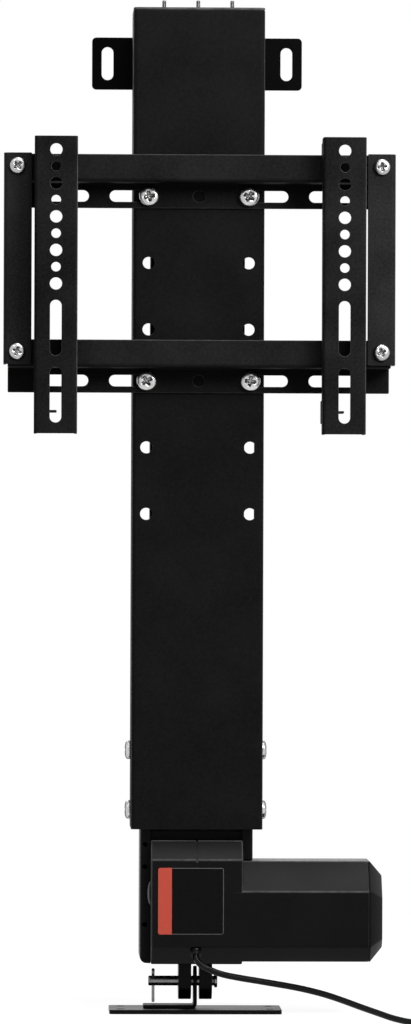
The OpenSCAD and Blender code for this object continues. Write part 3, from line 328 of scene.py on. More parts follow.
def aim(origin, direction):
    place = axisZ.rotation_difference(Vector(direction)).to_matrix().to_4x4()
    place.translation = Vector(origin)
    return place


def carried(piece, nodes, slot):
    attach(piece, bodyOf[nodes[0]])
    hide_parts(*nodes)
    return piece


creaseAngle = math.radians(32)  # faces that meet more sharply are not smoothed


def makePiece(name, part, finish, node, slot=None):
    mesh = bpy.data.meshes.new(name)
    mesh.from_pydata([mm * point for point in part["points"]], [], part["faces"])
    work = bmesh.new()
    work.from_mesh(mesh)
    bmesh.ops.recalc_face_normals(work, faces=work.faces)
    work.to_mesh(mesh)
    work.free()
    edge = mesh.attributes.new("edge", "FLOAT", "POINT")
    edge.data.foreach_set("value", part["edge"])
    mesh.shade_smooth()
    mesh.set_sharp_from_angle(angle=creaseAngle)
    mesh.normals_split_custom_set_from_vertices(part["normals"])
    mesh.materials.append(finish)
    return carried(addObject(name, mesh), [node], slot or slotOf[finish])


def makeSet(name, part, places, finish, node):
    makePiece(name, gathered([placed(part, at) for at in places]), finish, node)


# Flat outlines
arcStep = 15  # degrees between the points of a rounded corner
straight = math.radians(89)  # half the angle of a corner that is too flat to round
nearest = 1e-4  # points closer than this are one


def outline(corners, radius=0.5, steps=None, closed=True):
    # a corner is (u, v) or (u, v, its own radius)
    count = len(corners)
    points = []
    for i, corner in enumerate(corners):
        here = Vector(corner[:2])
        if not closed and i in (0, count - 1):
            points.append(here)
            continue
        toLast = Vector(corners[i - 1][:2]) - here
        toNext = Vector(corners[(i + 1) % count][:2]) - here
        room = 0.5 * min(toLast.length, toNext.length)
        toLast.normalize()
        toNext.normalize()
        half = math.acos(max(-1.0, min(1.0, toLast.dot(toNext)))) / 2
        if half > straight:
            points.append(here)
            continue
        r = min(corner[2] if len(corner) > 2 else radius, room * math.tan(half))
        centre = here + (toLast + toNext).normalized() * r / math.sin(half)
        first, last = (here + way * r / math.tan(half) - centre for way in (toLast, toNext))
        sweep = math.copysign(math.pi - 2 * half, first.cross(last))
        bits = steps or max(2, math.ceil(abs(math.degrees(sweep)) / arcStep))
        for k in range(bits + 1):
            turn = sweep * k / bits
            swung = Vector((first.x * math.cos(turn) - first.y * math.sin(turn),
                            first.x * math.sin(turn) + first.y * math.cos(turn)))
            points.append(centre + swung)
    return [tuple(p) for i, p in enumerate(points)
            if (i == 0 and not closed) or (p - points[i - 1]).length > nearest]


def box(u0, u1, v0, v1, radius=0.5, steps=None):
    return outline([(u0, v0), (u1, v0), (u1, v1), (u0, v1)], radius, steps)


def circle(u, v, r, steps=32):
    return [(u + r * math.cos(2 * math.pi * i / steps), v + r * math.sin(2 * math.pi * i / steps))
            for i in range(steps)]


def slotAt(u, v, width, height):
    return box(u - width / 2, u + width / 2, v - height / 2, v + height / 2, min(width, height) / 2)


def turned(loop, sense):
    area = sum(a[0] * b[1] - b[0] * a[1] for a, b in zip(loop, loop[1:] + loop[:1]))
    return loop if area * sense > 0 else loop[::-1]


def isInside(loops, x, y):
    crossings = 0
    for loop in loops:
        for (ax, ay), (bx, by) in zip(loop, loop[1:] + loop[:1]):
            if (ay > y) != (by > y) and x < ax + (y - ay) * (bx - ax) / (by - ay):
                crossings += 1
    return crossings % 2 == 1


def fillFlat(loops, chords=()):
    points = [Vector(point) for loop in loops for point in loop]
    edges, start = list(chords), 0
    for loop in loops:
        edges += [(start + i, start + (i + 1) % len(loop)) for i in range(len(loop))]
        start += len(loop)
    made, _, faces, source, *_ = delaunay_2d_cdt(points, edges, [], 0, 1e-7)
    kept = []
    for face in faces:
        middle = sum((made[i] for i in face), Vector((0, 0))) / len(face)
        if isInside(loops, middle.x, middle.y):
            kept.append([source[i][0] for i in face])
    return kept


# Sheet forms: how a flat (u, v) blank stands in space, w being the way through the sheet
def flatForm(origin, alongU, alongV, through):
    def place(u, v, w):
        return Vector(origin) + u * alongU + v * alongV + w * through, alongU, through
    return {"place": place, "axis": alongV, "bends": [], "wearAndSheen": []}


def along(at, angle, curve, length):
    if not curve:
        return at + length * Vector((math.cos(angle), math.sin(angle))), angle
    end = angle + curve * length
    return at + Vector((math.sin(end) - math.sin(angle), math.cos(angle) - math.cos(end))) / curve, end


def quarter(radius):
    return radius * math.pi / 2


sheenFrom, sheenTo = 0.6, 0.9  # the stretch of a highlit bend that is painted paler, a painted highlight line


def bentForm(start, heading, straights, bend, turns, axes, first=None, steps=6, highlitBends=()):
    # straights with square bends of one middle radius between them, 1 to the left and -1 to the right;
    # the bends counted in highlitBends get a painted highlight line, and u is 0 in the middle where first
    # doesn't say how it starts
    acrossP, acrossQ, alongV = axes
    stretches, bends, wearAndSheen = [], [], []
    half = (sum(straights) + len(turns) * quarter(bend)) / 2
    at, angle, u = Vector(start), math.radians(heading), -half if first is None else first
    runs = [(straights[0], 0.0)]
    for turn, length in zip(turns, straights[1:]):
        runs += [(quarter(bend), turn / bend), (length, 0.0)]
    for length, curve in runs:
        stretches.append((u, at.copy(), angle, curve))
        if curve:
            shown = len(bends) // (steps + 1) in highlitBends
            bends += [u + length * k / steps for k in range(steps + 1)]
            wearAndSheen += [1.0 if shown and sheenFrom < k / steps < sheenTo else 0.0 for k in range(steps + 1)]
        at, angle = along(at, angle, curve, length)
        u += length

    def place(u, v, w):
        start, at, angle, curve = [s for s in stretches if s[0] <= u or s is stretches[0]][-1]
        at, angle = along(at, angle, curve, u - start)
        across = acrossP * math.cos(angle) + acrossQ * math.sin(angle)
        through = acrossQ * math.cos(angle) - acrossP * math.sin(angle)
        return at.x * acrossP + at.y * acrossQ + v * alongV + w * through, across, through
    return {"place": place, "axis": alongV, "bends": bends, "wearAndSheen": wearAndSheen, "half": half}


def splitAtBends(loop, bends):
    points, marks = [], []
    for a, b in zip(loop, loop[1:] + loop[:1]):
        points.append(Vector(a))
        marks.append(None)
        cuts = [((line - a[0]) / (b[0] - a[0]), n) for n, line in enumerate(bends)
                if (a[0] - line) * (b[0] - line) < 0]
        for share, n in sorted(cuts):
            points.append(Vector(a).lerp(Vector(b), share))
            marks.append(n)
    return points, marks


creaseTurn = math.cos(math.radians(8))  # walls that turn more than this meet in a crease
litCreaseRise = -0.05  # and the crease is painted paler, a painted highlight, unless it faces further down


def sheetPart(outer, holes, thickness, form, edge=0.35, steps=2, warp=None, solid=False):
    # edge is the radius on the sheet's rims, or a pair for its front and back, and the rims get a painted
    # highlight; a solid's walls are faces, not edges, and its creases get a painted highlight where they face
    # up
    rims = edge if isinstance(edge, tuple) else (edge, edge)
    part = newPart()
    insets, fronts, backs, crossings = [], [], [], {}
    rows = [(1, k / steps) for k in range(steps + 1)] + [(-1, k / steps) for k in range(steps, -1, -1)]
    for loop in [turned(outer, 1)] + [turned(hole, -1) for hole in holes]:
        points, marks = splitAtBends(loop, form["bends"])
        count = len(points)
        sides = [(points[(i + 1) % count] - points[i]).normalized() for i in range(count)]
        inward = [Vector((-side.y, side.x)) for side in sides]
        lines, last = [], None
        for front, share in rows:
            rim = rims[0 if front > 0 else 1]
            turn = share * math.pi / 2
            inset = rim * (1 - math.sin(turn))
            w = front * (thickness / 2 - rim * (1 - math.cos(turn)))
            line, flat = [], []
            for i in range(count):
                before, after = inward[i - 1], inward[i]
                mitre = (before + after) / (1 + before.dot(after))
                u, v = points[i] + mitre * inset
                at, across, through = form["place"](u, v, w)
                outward = -(mitre.x * across + mitre.y * form["axis"]).normalized()
                normal = math.cos(turn) * front * through + math.sin(turn) * outward
                # rims are painted paler by how far their rounding has turned: a painted highlight
                wearAndSheen = math.sin(turn)
                if solid:
                    crease = before.dot(after) < creaseTurn and outward.z > litCreaseRise
                    wearAndSheen = max(math.sin(2 * turn), wearAndSheen if crease else 0.0)
                if marks[i] is not None:
                    wearAndSheen = max(wearAndSheen, form["wearAndSheen"][marks[i]])
                line.append(addPoint(part, warp(at) if warp else at, normal, wearAndSheen))
                flat.append((u, v))
            lines.append(line)
            last = last or flat
        joinRows(part, lines)
        start = sum(len(done) for done in insets)
        for i, mark in enumerate(marks):
            if mark is not None:
                crossings.setdefault(mark, []).append((last[i][1], start + i))
        insets.append(last)
        fronts += lines[0]
        backs += lines[-1]
    chords = []
    for found in crossings.values():
        numbers = [number for _, number in sorted(found)]
        chords += list(zip(numbers[::2], numbers[1::2]))
    for face in fillFlat(insets, chords):
        part["faces"].append([fronts[i] for i in face])
        part["faces"].append([backs[i] for i in reversed(face)])
    return part


def span(node):
    low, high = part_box(node)
    return [(low[i] / mm, high[i] / mm) for i in range(3)]


def levelPlate(node, radius, holes, edge):
    (x0, x1), (y0, y1), (z0, z1) = span(node)
    form = flatForm((0, 0, (z0 + z1) / 2), *xyzAxes)
    return sheetPart(box(x0, x1, y0, y1, radius), holes, z1 - z0, form, edge)


# Round parts
def lathePart(profile, steps=40):
    # profile is (radius, height) pairs
    part = newPart()
    rows = []
    for r, height in profile:
        ring = circle(0, 0, r, steps) if r > nearest else [(0, 0)]
        rows.append([addPoint(part, (u, v, height)) for u, v in ring])
    joinRows(part, rows)
    part["top"] = rows[-1]
    return part


def spunPart(corners, steps=40):
    return lathePart(outline(corners, closed=False), steps)


softEnd = ((0.0, 1.0), (0.3, 0.87), (0.6, 0.5))  # a wire's last rings: how far on and how wide, in radii


def tubePart(route, radius, sides=12):
    # round wire along a route, with softened ends
    part = newPart()
    route = [Vector(p) for p in route]
    final = len(route) - 1
    heads = [(route[min(i + 1, final)] - route[max(i - 1, 0)]).normalized() for i in range(len(route))]
    level = heads[0].orthogonal().normalized()
    rows = []
    for i, (at, head) in enumerate(zip(route, heads)):
        level = (level - head * level.dot(head)).normalized()
        upright = head.cross(level)
        rings = softEnd if i == final else softEnd[:1]
        if i == 0:
            rings = [(-shift, share) for shift, share in reversed(softEnd)]
        for shift, share in rings:
            rows.append([addPoint(part, at + head * shift * radius + share * (u * level + v * upright))
                         for u, v in circle(0, 0, radius, sides)])
    joinRows(part, rows, capped=True)
    return part


def threadPart(radius, low, high, pitch, depth, sides=20, taper=0.6, rowsPerTurn=6):
    # rod with a real helical thread and pointed-off ends
    part = newPart()
    count = math.ceil((high - low) / pitch * rowsPerTurn)
    rows = []
    for j in range(count + 1):
        height = low + (high - low) * j / count
        limit = radius - taper + min(height - low, high - height)
        row = []
        for i, (u, v) in enumerate(circle(0, 0, 1, sides)):
            phase = (height / pitch - i / sides) % 1
            r = min(radius - depth * abs(2 * phase - 1), limit)
            row.append(addPoint(part, (r * u, r * v, height)))
        rows.append(row)
    joinRows(part, rows, capped=True)
    return part


# Screws: sizes are the head's width and height, then the shank's diameter, length and pitch
def crossOutline(reach, width, tipRound=0.7, rootRound=0.4):
    tip, root = tipRound * width, rootRound * width
    corners = []
    for k in range(4):
        spin = Matrix.Rotation(k * math.pi / 2, 2)
        for point, r in (((reach, -width), tip), ((reach, width), tip), ((width, width), root)):
            corners.append((*(spin @ Vector(point)), r))
    return outline(corners, steps=3)


def addCrossRecess(part, heightAt, reach, width, depth, recessShade=-0.8):
    # closes the top of a head with a sunk cross for the driver
    rim = [(part["points"][i].x, part["points"][i].y) for i in part["top"]]
    mouth = crossOutline(reach, width)
    rows = [[addPoint(part, (u, v, heightAt(math.hypot(u, v)))) for u, v in mouth]]
    both = part["top"] + rows[0]
    part["faces"] += [[both[i] for i in face] for face in fillFlat([rim, mouth])]
    # the cross's walls and floor are marked below 0, which paints shade into the recess
    for share, sunk in ((0.85, 0.7), (0.4, 1.0)):  # of the mouth and of the depth
        level = heightAt(0) - sunk * depth
        rows.append([addPoint(part, (share * u, share * v, level), edge=recessShade) for u, v in mouth])
    joinRows(part, rows)
    part["faces"] += [[rows[-1][i] for i in face] for face in fillFlat([mouth])]


threadLap = 0.3  # how far a thread runs into its head
threadDepth = 0.5  # as a share of the pitch
headBore = 0.4  # where a head's underside starts inside its shank, as a share of the shank


def shankPart(diameter, low, high, pitch):
    return threadPart(diameter / 2, low, high + threadLap, pitch, threadDepth * pitch)


panHead = {"shoulder": 0.42, "crown": 0.66, "bulge": 2.5, "rings": 6, "crowding": 1.6, "underRound": 0.25}


def panScrew(head, height, shank, length, pitch):
    # head on z = 0 with its driver cross up, threaded shank down
    radius, bulge, rings = head / 2, panHead["bulge"], panHead["rings"]
    shoulder, crown = panHead["shoulder"] * height, panHead["crown"] * radius

    def heightAt(r):
        return shoulder + (height - shoulder) * (1 - (r / radius) ** bulge) ** (1 / bulge)
    under = [(headBore * shank, 0), (radius, 0, panHead["underRound"]), (radius, shoulder)]
    radii = [radius - (radius - crown) * (k / rings) ** panHead["crowding"] for k in range(1, rings + 1)]
    part = lathePart(outline(under, closed=False) + [(r, heightAt(r)) for r in radii])
    addCrossRecess(part, heightAt, reach=0.6 * radius, width=0.15 * radius, depth=0.65 * height)
    return gathered([part, shankPart(shank, -length, 0, pitch)])


def flatScrew(head, sink, shank, length, pitch, rim=0.15, rimRound=0.1, chamfer=0.3):
    # countersunk head flush with z = 0
    radius = head / 2
    part = spunPart([(headBore * shank, -sink), (radius, -rim, rimRound), (radius - chamfer, 0)])
    addCrossRecess(part, lambda r: 0.0, reach=0.52 * radius, width=0.12 * radius, depth=0.8 * sink)
    return gathered([part, shankPart(shank, -length, -sink, pitch)])


def hexNut(width, height, bore, chamfer=0.5, faceShare=0.96, cornerDrop=0.58, steps=48):
    part = newPart()
    flat, mouth, face = width / 2, bore + chamfer, faceShare * width / 2
    low = ((bore, chamfer), (mouth, 0), (face, 0), (None, chamfer))  # no radius along the six flats
    rows = []
    for radius, h in low + tuple((radius, height - h) for radius, h in reversed(low)):
        row = []
        for u, v in circle(0, 0, 1, steps):
            full = flat / math.cos(math.atan2(v, u) % (math.pi / 3) - math.pi / 6)
            sunk = 0 if radius else (full - flat) * cornerDrop
            r = radius or full
            row.append(addPoint(part, (r * u, r * v, h + (sunk if h < height / 2 else -sunk))))
        rows.append(row)
    joinRows(part, rows + rows[:1])
    return part


# Motor lead: a free stretch to the floor, then a tied coil and a round connector
lead = {
    "diameter": 4.5, "length": 1.13,  # the length is in metres
    "route": [
        (-0.7, -52.5, 42.5), (-0.4, -54.5, 40.5), (0.9, -56.6, 38.4), (2.7, -58.3, 36.7), (5.2, -59.7, 35.3),
        (8.8, -61.3, 33.6), (13.4, -63, 31.8), (19, -64.8, 30.2), (25.5, -66.7, 29), (33, -68.9, 27.8),
        (41.5, -71.5, 26.6), (51, -74.8, 25.2), (62, -79, 23.6), (74, -85.5, 21.6), (87, -94, 18.8),
        (99, -104, 15.4), (111, -115.5, 11.6), (122, -127, 8.4), (132, -138, 5.6), (142, -147.5, 3.9),
        (152, -155, 3.3), (163, -160.5, 3.3), (174, -164, 3.3), (180, -165, 3.3), (185.5, -165, 3.3),
    ],
    "routeSteps": 4,
    "coilMiddle": (190, -134), "coilRadius": 31, "coilStep": 5.2, "coilTurns": 3, "coilPoints": 36,
    "floorHeight": 3.3, "layer": 5.1, "climb": 0.5, "tail": 30, "roundness": 5,  # the climb is in turns
}


def smoothRoute(points, steps):
    points = [Vector(p) for p in points]
    made = []
    for i in range(len(points) - 1):
        a, b, c, d = (points[min(max(k, 0), len(points) - 1)] for k in (i - 1, i, i + 1, i + 2))
        for k in range(steps):
            t = k / steps
            made.append(0.5 * (2 * b + (c - a) * t + (2 * a - 5 * b + 4 * c - d) * t * t
                               + (3 * b - a - 3 * c + d) * t ** 3))
    return made + [points[-1]]


def coilRoute():
    turns, made = lead["coilTurns"], []
    x, y = lead["coilMiddle"]
    for i in range(2 * turns * lead["coilPoints"] + 1):
        t = i / lead["coilPoints"]
        r = lead["coilRadius"] - lead["coilStep"] * (turns - abs(turns - t))
        climbed = min(max((t - turns) / lead["climb"] + 0.5, 0), 1)
        turn = 2 * math.pi * t - math.pi / 2
        made.append(Vector((x + r * math.cos(turn), y + r * math.sin(turn),
                            lead["floorHeight"] + lead["layer"] * climbed)))
    return made + [made[-1] + on * axisX for on in (lead["diameter"], lead["tail"])]


def makeLead():
    points = smoothRoute(lead["route"], lead["routeSteps"]) + coilRoute()
    curve = bpy.data.curves.new("motorLead", "CURVE")
    curve.dimensions = "3D"
    curve.bevel_depth = lead["diameter"] / 2 * mm
    curve.bevel_resolution = lead["roundness"]
    spline = curve.splines.new("POLY")
    spline.points.add(len(points) - 1)
    for made, point in zip(spline.points, points):
        made.co = (*(mm * point), 1)
    curve.materials.append(cordJacket)
    return carried(addObject("motorLead", curve), ["cord", "cord_coil"], slotOf[cordJacket]), points[-1]


relief = {"place": (-0.7, -49.5, 45.5), "way": (0, -1, -1), "root": 3, "length": 4.243, "radius": 3.55,
          "collar": 0.7, "ribs": (1.0, 2.6), "rib": 3.9, "ribWidth": 0.8, "ribRound": 0.25, "ribFoot": 0.1,
          "tip": 3.0, "tipStart": 3.7, "tipRound": 0.4}


def makeRelief():
    r, rib, tip, length = (relief[size] for size in ("radius", "rib", "tip", "length"))
    profile = [(0, -relief["root"]), (r, -relief["root"]), (r, relief["collar"])]
    for low in relief["ribs"]:
        high = low + relief["ribWidth"]
        neck = r + (tip - r) * high / length
        corners = [(neck, low - relief["ribFoot"]), (rib, low), (rib, high), (neck, high + relief["ribFoot"])]
        profile += outline(corners, relief["ribRound"], closed=False)
    corners = [(tip, relief["tipStart"]), (tip, length), (0, length)]
    profile += outline(corners, relief["tipRound"], closed=False)
    part = placed(lathePart(profile, 32), aim(relief["place"], Vector(relief["way"]).normalized()))
    return makePiece("leadStrainRelief", part, cordJacket, "strain_relief")


tie = {"band": 0.9, "cornerRadius": 2.4, "lapEnds": (5, 4), "lapInset": 0.6, "lapRadius": 1.2,
       "lapSheet": 0.6, "lapRise": 0.25}


def makeTie():
    (x0, x1), (y0, y1), (z0, z1) = span("cord_tie")
    band, r, inset = tie["band"], tie["cornerRadius"], tie["lapInset"]
    hole = box(y0 + band, y1 - band, z0 + band, z1 - band, r - band)
    strap = sheetPart(box(y0, y1, z0, z1, r), [hole], x1 - x0,
                      flatForm(((x0 + x1) / 2, 0, 0), axisY, axisZ, axisX), edge=0.25)
    # the strap's lapped end, held under its own slot
    near, far = tie["lapEnds"]
    lap = sheetPart(box(y0 + near, y1 - far, x0 + inset, x1 - inset, tie["lapRadius"]), [], tie["lapSheet"],
                    flatForm((0, 0, z1 + tie["lapRise"]), axisY, axisX, axisZ), edge=0.2)
    return makePiece("leadTie", gathered([strap, lap]), cordJacket, "cord_tie")


connector = {
    "root": [(0, 0.5), (2.6, 0), (3.45, 0.4)],
    "ribs": 4, "ribStart": 1.0, "ribPitch": 1.4, "neck": 3.5, "growth": 0.85,
    "rib": ((0, 0), (0.6, 0.2), (0.6, 0.8), (0.2, 1.0)),
    "shell": [(7.0, 6.6), (8, 7.2, 0.5), (8, 24, 0.5), (7.2, 24.2, 0.2), (7.2, 26, 0.4), (5.6, 26, 0.3),
              (5.6, 18.2), (0, 18)],
    "pin": [(0, 17.5), (0.9, 17.5), (0.9, 24.5, 0.6), (0, 24.5)],
    "pinCircle": 2.9, "pinTurns": (90, 210, 330),
    "grips": 12, "gripPlace": (7.9, 0, 15.2), "grip": (1.2, 13, 1.0),
}


def makePlug(end):
    c = connector
    body = list(c["root"])
    for k in range(c["ribs"]):
        low, r = c["ribStart"] + c["ribPitch"] * k, c["neck"] + c["growth"] * k
        body += [(r + out, low + up) for out, up in c["rib"]]
    parts = [lathePart(body + outline(c["shell"], closed=False))]
    pin = spunPart(c["pin"], 14)
    for turn in c["pinTurns"]:
        at = c["pinCircle"] * Vector((math.cos(math.radians(turn)), math.sin(math.radians(turn)), 0))
        parts.append(placed(pin, Matrix.Translation(at)))
    width, length, height = c["grip"]
    form = flatForm(c["gripPlace"], axisY, axisZ, axisX)
    grip = sheetPart(slotAt(0, 0, width, length), [], height, form, edge=0.3)
    parts += [placed(grip, Matrix.Rotation(2 * math.pi * k / c["grips"], 4, "Z")) for k in range(c["grips"])]
    return makePiece("leadConnector", placed(gathered(parts), aim(end, axisX)), cordJacket, "cord_plug")


motorLead, leadEnd = makeLead()
makeRelief()
makeTie()
makePlug(leadEnd)
print("motor lead laid")


# Foot plate, bent angle, clevis and pins
foot = {"cornerRadius": 3, "holeX": 52.3, "holeY": 15, "holeRadius": 3}
footAngle = {"sheet": 2.5, "bend": 2.25, "round": 10.5, "hole": 3.55, "pinHeight": 22, "leg": 36.5,
             "legRadius": 2}


def makeFoot():
    holes = [circle(sx * foot["holeX"], sy * foot["holeY"], foot["holeRadius"])
             for sx in (-1, 1) for sy in (-1, 1)]
    part = levelPlate("foot_plate", foot["cornerRadius"], holes, edge=0.05)
    makePiece("footPlateSheet", part, baseCoat, "foot_plate")

    bend, r, corner = footAngle["bend"], footAngle["round"], footAngle["legRadius"]
    low = span("foot_plate")[2][1] + footAngle["sheet"] / 2  # middle of the leg's sheet
    drop = footAngle["pinHeight"] - low - bend
    reach = drop + quarter(bend) + footAngle["leg"] - bend
    form = bentForm((0, footAngle["pinHeight"] + r), -90, (drop + r, footAngle["leg"]), bend, (-1,),
                    (axisX, axisZ, axisY), -r)
    loop = outline([(-r, -r, r), (reach, -r, corner), (reach, r, corner), (-r, r, r)])
    part = sheetPart(loop, [circle(0, 0, footAngle["hole"])], footAngle["sheet"], form)
    makePiece("footAngle", part, darkCoat, "foot_lug")


clevis = {"round": 13, "inner": 2.85, "outer": 11.85, "top": 38, "hole": 3.55, "cornerRadius": 1}


def makeClevis():
    r, pin, top = clevis["round"], footAngle["pinHeight"], clevis["top"]
    loop = outline([(-r, pin - r, r), (r, pin - r, r), (r, top), (-r, top)], clevis["cornerRadius"], 10)
    middle = (clevis["inner"] + clevis["outer"]) / 2
    form = flatForm((0, 0, 0), axisY, axisZ, axisX)
    thickness = clevis["outer"] - clevis["inner"]
    lug = sheetPart(loop, [circle(0, pin, clevis["hole"])], thickness, form, edge=0.6, steps=3)
    places = [Matrix.Translation((s * middle, 0, 0)) for s in (-1, 1)]
    makeSet("clevisLugs", lug, places, baseCoat, "rear_clevis")


clevisPin = {"radius": 3.5, "endRound": 0.8, "head": 4.8, "headLength": 2.1, "headRounds": (0.3, 0.7)}
splitPin = {"wire": 0.52, "thickness": 2, "straight": (5, 10), "neck": 1.2, "eyeMouth": 30, "eyePoints": 16,
            "longEnd": ((-1.7, 0.4), (-1.1, 2.5)), "shortEnd": ((1.0, 2.5), (1.4, 1.2))}


def makePins():
    x0, x1 = span("clevis_pin")[0]
    pin, head, seat = clevisPin["radius"], clevisPin["head"], x1 - clevisPin["headLength"]
    under, over = clevisPin["headRounds"]
    part = spunPart([(0, x0), (pin, x0, clevisPin["endRound"]), (pin, seat), (head, seat, under),
                     (head, x1, over), (0, x1)])
    part = placed(part, aim((0, 0, footAngle["pinHeight"]), axisX))
    makePiece("clevisPinTurned", part, dullSteel, "clevis_pin")

    # one wire doubled back on itself, its eye edge-on to the front and its legs spread at the bottom
    (x0, x1), (_, y1), (z0, z1) = span("cotter_pin")
    wire, mouth, count = splitPin["wire"], splitPin["eyeMouth"], splitPin["eyePoints"]
    eye = y1 - wire
    top = z1 - eye - wire
    leg = [(wire, z0 + rise) for rise in splitPin["straight"]] + [(wire, top - eye - splitPin["neck"])]
    turns = [math.radians(-mouth - (360 - 2 * mouth) * k / count) for k in range(count + 1)]
    ring = [(eye * math.sin(turn), top - eye * math.cos(turn)) for turn in turns]
    longEnd, shortEnd = ([(y, z0 + rise) for y, rise in splitPin[end]] for end in ("longEnd", "shortEnd"))
    route = longEnd + [(-y, z) for y, z in leg] + ring + leg[::-1] + shortEnd
    halfRound = Matrix.Translation(((x0 + x1) / 2, 0, 0)) @ Matrix.Scale(splitPin["thickness"], 4, axisX)
    part = placed(tubePart([(0, y, z) for y, z in route], wire), halfRound)
    makePiece("splitPinWire", part, dullSteel, "cotter_pin")


makeFoot()
makeClevis()
makePins()
print("foot and clevis made")


# Cradle: C-channel behind and beside the gearbox, cut away on the right
cradle = {"sheet": 2.5, "bend": 2.25, "lipEnd": 32, "cutHeight": 108.5, "cutRadius": 3,
          "cornerRadius": 5, "stub": 1, "lipHole": 1.6, "lipHoleX": 35.75, "lipHoles": (63, 103.5, 119),
          "screw": (8, 2.4, 4, 8, 0.9), "screwX": 24, "screwHeights": (63, 104.5),
          "baseScrew": (6, 2, 3, 8, 0.7), "baseScrewX": 20, "baseScrewHeight": 125.25}


def makeCradle():
    (x0, x1), (y0, y1), (z0, z1) = span("cradle")
    t, bend, lipEnd = cradle["sheet"], cradle["bend"], cradle["lipEnd"]
    inset = t / 2 + bend
    web, side, lip = x1 - inset, y1 - y0 - 2 * inset, x1 - inset - lipEnd
    straights = (lip, side, 2 * web, side, lip)
    form = bentForm((-lipEnd, y0 + t / 2), 180, straights, bend, (-1, -1, -1, -1), xyzAxes)
    half = form["half"]
    cut, top, corner = web + quarter(bend) + cradle["stub"], cradle["cutHeight"], cradle["cutRadius"]
    loop = outline([(-half, z0), (cut, z0), (cut, top, corner), (half, top, corner), (half, z1), (-half, z1)])
    holeU = -half + cradle["lipHoleX"] - lipEnd
    holes = [circle(holeU, z, cradle["lipHole"], 24) for z in cradle["lipHoles"]]
    r = cradle["cornerRadius"]
    centreX, centreZ = x0 + r, z0 + r

    def roundCorner(at):
        # the lower left corner is cut round from front to back
        if at.x < centreX and at.z < centreZ:
            least = centreZ - math.sqrt(max(r * r - (at.x - centreX) ** 2, 0))
            return Vector((at.x, at.y, max(at.z, least)))
        return at
    part = sheetPart(loop, holes, t, form, edge=0.4, warp=roundCorner)
    makePiece("gearboxCradle", part, baseCoat, "cradle")

    places = [aim((s * cradle["screwX"], y1, z), axisY) for s in (-1, 1) for z in cradle["screwHeights"]]
    makeSet("cradlePanScrews", panScrew(*cradle["screw"]), places, zincPlate, "cradle_screws")
    places = [aim((s * cradle["baseScrewX"], y1, cradle["baseScrewHeight"]), axisY) for s in (-1, 1)]
    makeSet("mastBaseScrews", panScrew(*cradle["baseScrew"]), places, zincPlate, "mast_base_screws")


makeCradle()
print("cradle made")


# Gearbox and motor housing
gearbox = {"side": 32, "front": -53, "parting": -21, "back": 20, "low": 36, "high": 122.5, "bevel": 13,
           "edge": 2.6, "partingEdge": 1.2, "rim": 1.1, "groove": 1.3, "grooveDepth": 1.2, "grooveLap": 2,
           "seam": 0.02,
           "bossPlace": (-32, -40.3, 85.8), "bossRadius": 8.7, "bossHeight": 2.4, "bossRoot": 0.5,
           "screw": (6, 1.4, 3, 9, 0.8), "screwX": 28, "screwHeights": (41, 118), "screwProud": 0.15}
motorArm = {"start": 26, "rearStart": 29.5, "end": 120, "back": 9, "low": 38, "high": 108, "lowBevel": 11,
            "bevelHeight": 20.5, "bevelDepth": 18, "rim": 0.35, "arcSteps": 5,
            "screwInset": 8, "screwHeights": (41.4, 104.3),
            # the cap's rings: how far past the motor's end and how far drawn in
            "capRings": ((0.1, 0.35), (0.45, 0), (1.0, 0), (1.4, 0.3), (9.3, 9.5), (9.8, 10.4))}


def prism(loop, x0, x1, rims):
    form = flatForm(((x0 + x1) / 2, 0, 0), axisY, axisZ, axisX)
    return sheetPart(loop, [], x1 - x0, form, rims, 4, solid=True)


def gearboxFront(seam, groove):
    # seam insets the whole outline a hair, groove only its top and top bevel
    g = gearbox
    front, bevelled, parting, r = g["front"] + seam, g["front"] + g["bevel"], g["parting"], g["partingEdge"]
    low, high = g["low"] + seam, g["high"] - groove
    return outline([(parting, low, r), (bevelled, low), (front, g["low"] + g["bevel"]),
                    (front, high - g["bevel"]), (bevelled, high), (parting, high, r)], g["edge"])


def motorFront(inset, back):
    m = motorArm
    front, low, high, lean = gearbox["front"], m["low"] + inset, m["high"] - inset, inset / 2
    corners = [(back, low), (front + m["lowBevel"] + lean, low),
               (front + inset, m["low"] + m["lowBevel"] + lean),
               (front + inset, m["high"] - m["bevelHeight"] - lean),
               (front + m["bevelDepth"] + lean, high), (back, high)]
    return outline(corners, gearbox["edge"], m["arcSteps"])


